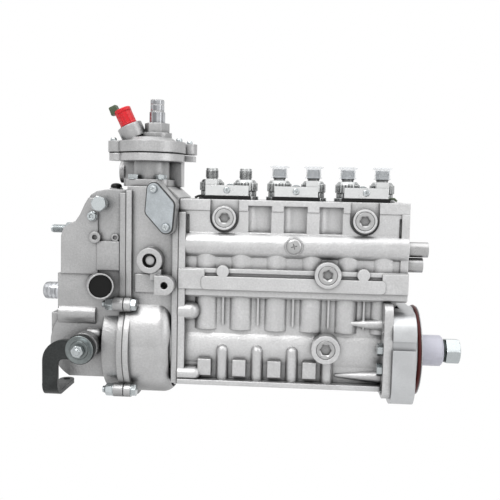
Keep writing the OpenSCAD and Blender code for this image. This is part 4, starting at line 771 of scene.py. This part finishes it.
def strip_ends():
    """Ends of the strips under the clamps, which bend down onto the deck."""
    left = [(-190.0, -13.0, 141.0), (-194.0, -13.2, 141.4), (-197.0, -13.4, 142.0), (-200.0, -13.6, 141.4),
            (-202.6, -13.8, 139.9)]
    make_piece("strip_end_left", [tube(left, 1.1)], "black_rubber", "housing")
    right = [(-25.0, -12.0, 141.2), (-21.5, -12.2, 142.6), (-18.5, -12.4, 142.8), (-16.0, -12.6, 140.4)]
    make_piece("strip_end_right", [tube(right, 1.0)], "olive_plastic", "housing")


# Housing and drive end
def from_the_top(box):
    """Sorts boxes by height and then from left to right."""
    return -middle(box).z, middle(box).x


def socket_plugs():
    """Gallery plugs; the lowest has the larger socket."""
    boxes = sorted(solid_boxes("gallery_plugs"), key=from_the_top)
    plug_r, length, proud = 8.5, 4.9, 0.15
    builders = []
    for box in boxes:
        socket = 9.0 if box is boxes[-1] else 8.0
        place = (middle(box).x, box[0].y - proud, middle(box).z)
        builders += socket_plug(put(place, "-y", rng.uniform(0, 60)), plug_r, socket, length)
    make_piece("socket_plugs", builders, "nickel", "housing", ["gallery_plugs"])


def guide_screw():
    """Screw with a cross recess that guides the rack."""
    box = node_box("rack_guide_screw")
    x, z = middle(box).x, middle(box).z
    head_r = (box[1].x - box[0].x) / 2
    head_h = 2.5
    under_head = box[0].y + head_h
    builders = cross_head(put((x, under_head, z), "-y", 15.0), head_r, head_h, arm=0.42, deep=0.8)
    builders.append(rod(2.9, 12.0, put((x, under_head - 0.5, z), "y")))
    make_piece("guide_screw", builders, "nickel", "housing", ["rack_guide_screw"])


def drive_end():
    """Nut, washer and threaded end of the camshaft."""
    low, high = node_box("drive_nut")
    nut_x = low.x + 3.0
    nut = hex_head(put((nut_x, 0, 0), "x", 22.0), high.y - low.y, high.x - nut_x, cup=7.5)
    make_piece("shaft_nut", nut, "zinc", "camshaft", ["drive_nut"])
    bore_r, washer_r, washer_h = 6.3, 10.6, 2.8
    washer = [(bore_r, 0), (washer_r - 0.2, 0), (washer_r, 0.4), (washer_r, washer_h - 0.4),
              (washer_r - 0.4, washer_h), (bore_r, washer_h)]
    spring_washer = lathe(washer, put((low.x + 0.1, 0, 0), "x"))
    make_piece("spring_washer", [spring_washer], "dark_steel", "camshaft")
    end = thread_profile(6.0, high.x - 0.8, high.x + 1.6, 1.2)
    make_piece("shaft_end", [lathe(end, put((0, 0, 0), "x"), 32)], "steel", "camshaft")


def seal_ring():
    """Ring in the groove of the pilot, round in section."""
    wire_r, ring_r = 1.7, 41.0
    groove_x = middle(node_box("pilot_seal")).x
    section = [(ring_r + x, groove_x + y) for x, y in ring_points(wire_r, 14)]
    ring = lathe(section, put((0, 0, 0), "x"), 96)
    make_piece("seal_ring", [ring], "seal_rubber", "housing", ["pilot_seal"])


# Governor
def joint_bolts():
    """Bolts that join the governor's cover to its housing, each with a nut at the other end."""
    boxes = solid_boxes("governor_screws")
    head_x, nut_x = boxes[0][1].x, boxes[-1][0].x
    heads = [box for box in boxes if box[1].x == head_x]
    builders = []
    for box in sorted(heads, key=lambda box: (-middle(box).z, middle(box).y)):
        y, z = middle(box).y, middle(box).z
        turn = rng.uniform(0, 60)
        builders += hex_head(put((head_x, y, z), "-x", turn), 10.0, 7.4, washer=6.1)
        builders.append(lathe(thread_profile(3.4, 7.0, 10.6, 1.0, 0.4), put((head_x, y, z), "-x"), 32))
        builders += hex_head(put((nut_x, y, z), "x", turn), 10.0, 5.0, washer=6.0)
    make_piece("joint_bolts", builders, "zinc", "housing", ["governor_screws"])


def vent_fittings():
    """The large hexagon plug and the small vent screw of the governor's cover."""
    plug, vent = sorted(solid_boxes("vent_screws"), key=from_the_top)
    x, back, z = middle(plug).x, plug[1].y, middle(plug).z
    shank = 11.6
    builders = [rod(4.6, shank, put((x, back + 0.4, z), "-y"))]
    builders += hex_head(put((x, back - shank, z), "-y", 10.0), 12.6, 7.2, washer=6.4)
    x, back, z = middle(vent).x, vent[1].y, middle(vent).z
    builders.append(lathe(thread_profile(2.6, 0, 2.0, 0.8, 0.4), put((x, back + 0.4, z), "-y")))
    builders += hex_head(put((x, back - 1.0, z), "-y"), 7.6, 5.0, washer=4.4, cup=2.0)
    make_piece("vent_fittings", builders, "zinc", "housing", ["vent_screws"])


def stop_screw():
    """Long full-load screw with its lock nut."""
    box = node_box("full_load_screw")
    low, high = box
    z = middle(box).z
    nut_x = high.x - 28.5
    builders = [lathe(thread_profile(4.0, 0, high.x - low.x, 1.25, 0.5), put((high.x, 0, z), "-x"), 32)]
    builders += hex_head(put((nut_x, 0, z), "-x", 8.0), high.y - low.y, 5.0)
    make_piece("stop_screw", builders, "zinc", "housing", ["full_load_screw"])


def idle_cap():
    """Turned cap over the idle spring, with a collar and a rounded end."""
    box = node_box("idle_spring_cap")
    neck_r, collar_r, body_r = 6.4, 9.0, 8.4
    neck, shoulder, end = 12.0, 17.0, box[1].x - box[0].x
    profile = [(0, 0), (neck_r, 0), (neck_r, neck), (collar_r - 0.2, neck), (collar_r, neck + 0.4),
               (collar_r, shoulder), (body_r, shoulder + 0.6), (body_r, end - 4.2), (body_r - 0.5, end - 1.8),
               (neck_r, end - 0.4), (0, end)]
    cap = lathe(profile, put((box[1].x, 0, middle(box).z), "-x"))
    make_piece("idle_cap", [cap], "turned_steel", "housing", ["idle_spring_cap"])


def filler_cap():
    """Domed plug on top of the governor's cover."""
    box = node_box("oil_filler_cap")
    shank_r, dome_r, shank = 3.9, 5.6, 7.4
    profile = [(0, 0), (shank_r, 0), (shank_r, shank), (dome_r - 0.2, shank), (dome_r, shank + 0.4),
               (dome_r, 9.0), (5.2, 10.3), (4.2, 11.3), (2.4, 12.0), (0, 12.2)]
    cap = lathe(profile, put((middle(box).x, middle(box).y, box[0].z)), 40)
    make_piece("filler_cap", [cap], "black_plastic", "housing", ["oil_filler_cap"])


def blanking_plate_details():
    """Dark gasket that stands out a little all round the diamond plate, and the heads of its two screws."""
    half_w, half_h, tip_r, proud, lean = 12.9, 22.7, 5.5, 1.1, 18.7
    gasket_h, screw_reach, screw_r, screw_h = 0.8, 17.5, 3.5, 3.3
    box = node_box("blanking_plate")
    leaning = (move(middle(box).x, box[1].y, middle(box).z)
               @ Matrix.Rotation(math.radians(-lean), 4, "Y") @ STANDING)
    slope = math.degrees(math.atan2(half_h - tip_r, half_w - tip_r))
    tips = (((half_w - tip_r, 0), 0), ((0, half_h - tip_r), 90), ((tip_r - half_w, 0), 180),
            ((0, tip_r - half_h), 270))
    outline = []
    for centre, turn in tips:
        half = 90 - slope if turn % 180 == 0 else slope
        outline += arc(centre, tip_r + proud, turn - half, turn + half, 12)
    gasket = stack([(0, outline), (gasket_h, outline)], leaning)
    make_piece("plate_gasket", [gasket], "gasket_fibre", "housing")
    heads = []
    for side in (-1, 1):
        heads += cross_head(leaning @ move(0, side * screw_reach, 2.5), screw_r, screw_h)
    make_piece("plate_screws", heads, "zinc", "housing")


# Compensator
COMPENSATOR_X = middle(node_box("boost_spring")).x


def boost_inlet():
    """Leaning inlet with its ribbed red cap and the cap's tab."""
    seat_x, seat_z, lean = COMPENSATOR_X - 16.2, 194.5, 25.6
    seat = move(seat_x, 0, seat_z) @ Matrix.Rotation(math.radians(-lean), 4, "Y")
    bore_r, wall_r, lip_r, rim_r = 5.0, 7.7, 8.2, 8.3
    lip, wall, ceiling, rim, top = 13.2, 16.0, 20.0, 27.0, 30.4
    profile = [(bore_r, lip), (lip_r - 0.4, lip), (lip_r, lip + 0.6), (lip_r, wall - 0.6), (wall_r, wall),
               (wall_r, rim - 0.6), (rim_r, rim), (rim_r, top - 0.8), (wall_r, top - 0.1), (0, top),
               (0, ceiling), (bore_r, ceiling)]
    cap = [lathe(profile, seat, 40)]
    ribs = 12
    rib = [(wall_r - 0.2 + x, y) for x, y in ring_points(0.55, 8)]
    for k in range(ribs):
        turned = seat @ Matrix.Rotation(2 * math.pi * k / ribs, 4, "Z")
        cap.append(stack([(wall + 0.2, rib), (rim - 0.8, rib)], turned))
    make_piece("inlet_cap", cap, "red_plastic", "housing", ["boost_union"])
    outline = [(-4.4, -3.6), (3.4, -4.2), (4.2, 3.2), (-3.8, 4.0)]
    low, high = 28.2, 36.2
    tab = stack([(low, outline), (high - 0.8, [(x * 0.92, y * 0.9) for x, y in outline]),
                 (high, resized(outline, 0.8))], seat @ move(-6.4, -1.0, 0))
    make_piece("inlet_tab", [tab], "olive_plastic", "housing")


def boost_stop():
    """Turned stop of the compensator, with collar, groove and chamfer, over the plain stud of the cover."""
    top = node_box("compensator_cover")[1].z
    stop_x = COMPENSATOR_X + 4.8
    collar_r, stud_r, groove_r = 7.45, 6.55, 6.0
    collar = top - 11.5
    profile = [(0, collar - 10.6), (collar_r, collar - 10.6), (collar_r, collar - 0.5),
               (collar_r - 0.5, collar + 0.05), (groove_r, collar + 0.05), (groove_r, collar + 1.2),
               (stud_r, collar + 1.6), (stud_r, top - 5.4), (groove_r + 0.25, top - 5.0),
               (groove_r + 0.25, top - 4.4), (stud_r, top - 4.0), (stud_r, top - 0.9),
               (stud_r - 0.9, top + 0.1), (3.0, top + 0.1), (2.6, top - 0.2), (0, top - 0.2)]
    turned = lathe(profile, put((stop_x, 0, 0)), 56)
    make_piece("boost_stop", [turned], "turned_steel", "housing")


def boost_coil():
    """Return spring under the diaphragm, built at one length; the real spring shortens as the plunger goes
    down.
    """
    low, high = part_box("boost_spring")
    wire_r, turns, stroke = 1.2, 5, 5.0
    mean_r = (high.x - low.x) / 2 / MM - wire_r
    centre = (low + high) / 2 / MM
    height = (high.z - low.z) / MM - 2 * wire_r
    steps = 28 * turns
    points = []
    for k in range(steps + 1):
        x, y = on_circle(mean_r, 2 * math.pi * turns * k / steps)
        points.append((centre.x + x, centre.y + y, low.z / MM + wire_r + height * k / steps))
    wire = tube(points, wire_r, 10)
    coil = make_piece("boost_coil", [wire], "spring_wire", "housing", ["boost_spring"])
    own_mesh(coil)


def lid_screws():
    """Screws of the inspection cover, of the compensator's lid and of its foot."""
    boxes = solid_boxes("cover_screws")
    deck_z = node_box("pump_housing")[1].z
    lid_z = max(low.z for low, high in boxes)
    inspection = [box for box in boxes if box[1].z < deck_z]
    foot = [box for box in boxes if deck_z < box[0].z < lid_z]
    builders = []
    for box in inspection:
        place = (middle(box).x, box[0].y, middle(box).z)
        builders += hex_head(put(place, "y", rng.uniform(0, 60)), 8.0, 3.5, washer=5.0)
    ring_r = 28.6
    wings = [(-35.5, -6.0), (32.0, 26.0)]
    ears = [on_circle(ring_r, math.radians(angle)) for angle in (-16, 97, 142)]
    for x, y in wings + ears:
        place = (COMPENSATOR_X + x, y, lid_z)
        builders += cross_head(put(place, "z", rng.uniform(0, 90)), 3.0, 3.3, arm=0.5, deep=1.4)
    for box in foot:
        place = (middle(box).x, middle(box).y, box[0].z)
        builders += hex_head(put(place, "z", rng.uniform(0, 60)), 9.0, 4.5, washer=5.6)
    make_piece("lid_screws", builders, "zinc", "housing", ["cover_screws"])


# Control lever
HEAD_R = 13.4
LEVER_LOW, LEVER_HIGH = node_box("control_lever")
PIVOT = Point(LEVER_HIGH.x - HEAD_R, LEVER_LOW.y, LEVER_HIGH.z - HEAD_R)


def lever_fastener():
    """Stepped washer and stud bolt in front of the lever; shaft, collar and inner arm behind it."""
    washer = [(0, 0), (12.4, 0), (12.8, 0.4), (12.8, 1.0), (12.3, 1.4), (11.2, 1.4), (10.6, 1.0), (8.4, 1.0),
              (7.9, 2.0), (0, 2.0)]
    stepped = lathe(washer, put(PIVOT, "-y"), 56)
    make_piece("lever_washer", [stepped], "washer_steel", "control_lever")
    bolt_y, shaft_y, arm_y = PIVOT.y - 2.0, PIVOT.y + 0.1, PIVOT.y + 40.0
    shaft_r, collar_r, collar_low, collar_high = 5.95, 9.0, 5.2, 9.7
    builders = hex_head(put((PIVOT.x, bolt_y, PIVOT.z), "-y", 20.0), 10.0, 6.0, stud=3.0)
    builders.append(rod(shaft_r, arm_y - shaft_y - 0.1, put((PIVOT.x, shaft_y, PIVOT.z), "y")))
    collar = [(5.9, collar_low), (collar_r - 0.2, collar_low), (collar_r, collar_low + 0.3),
              (collar_r, collar_high - 0.3), (collar_r - 0.4, collar_high), (5.9, collar_high)]
    builders.append(lathe(collar, put(PIVOT, "y")))
    inner_arm = slot_outline((PIVOT.x, PIVOT.z), (PIVOT.x + 10.0, PIVOT.z + 12.0), 5.0)
    builders.append(stack([(0, inner_arm), (6.0, inner_arm)], move(0, arm_y, 0) @ STANDING))
    make_piece("lever_bolt", builders, "zinc", "control_lever", ["lever_shaft"])


def lever_plate():
    """Pressed lever: a hook with a round head and an open inside, bent at its end to a foot with an eye."""
    left, foot, front = LEVER_LOW.x, LEVER_LOW.z, LEVER_LOW.y
    arm_w, thick, corner_r, inner_r, bend_r, eye_hole_r = 14.0, 4.0, 20.0, 6.0, 12.0, 3.3
    right = left + arm_w
    top, under = PIVOT.z + 8.5, PIVOT.z - 9.0
    start = 180 - math.degrees(math.asin((top - PIVOT.z) / HEAD_R))
    stop = math.degrees(math.asin((PIVOT.z - under) / HEAD_R)) - 180
    outline = [(left, foot + bend_r)] + arc((left + corner_r, top - corner_r), corner_r, 180, 90)
    outline += arc((PIVOT.x, PIVOT.z), HEAD_R, start, stop, 40)
    outline += arc((right + inner_r, under - inner_r), inner_r, 90, 180) + [(right, foot + bend_r)]
    rim = [(x + (0.35 if x < left + 1 else 0), z) for x, z in outline]
    hook = stack([(-front - thick, outline), (-front - 0.4, outline), (-front, rim)], STANDING)
    bend_centre = (front + bend_r, foot + bend_r)
    bend = arc(bend_centre, bend_r, 180, 270) + arc(bend_centre, bend_r - thick, 270, 180)
    eye_r = arm_w / 2
    eye_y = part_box("control_lever")[1].y / MM - eye_r
    reach = eye_y - front - bend_r
    side = [(eye_r, -reach * k / 6) for k in range(6, 0, -1)]
    foot_outline = side + arc((0, 0), eye_r, 0, 180, 24) + [(-x, y) for x, y in reversed(side)]
    foot_outline += [(-eye_r * k / 4, -reach) for k in range(3, -4, -1)]
    eye = move(left + eye_r, eye_y, 0)
    builders = [hook, stack([(left, bend), (right, bend)], ALONG_X),
                holed_plate(foot_outline, eye_hole_r, foot, foot + thick, eye)]
    make_piece("lever_plate", builders, "lever_iron", "control_lever", ["control_lever"])


make_camera()
cast_metals()
plated_metals()
machined_steels()
rubbers_and_plastics()
make_stage()
dress_nodes()
delivery_unions()
transport_caps()
clamp_bolts()
socket_plugs()
guide_screw()
drive_end()
joint_bolts()
vent_fittings()
stop_screw()
idle_cap()
boost_inlet()
boost_stop()
boost_coil()
filler_cap()
seal_ring()
lid_screws()
lever_fastener()
lever_plate()
blanking_plate_details()
strip_ends()
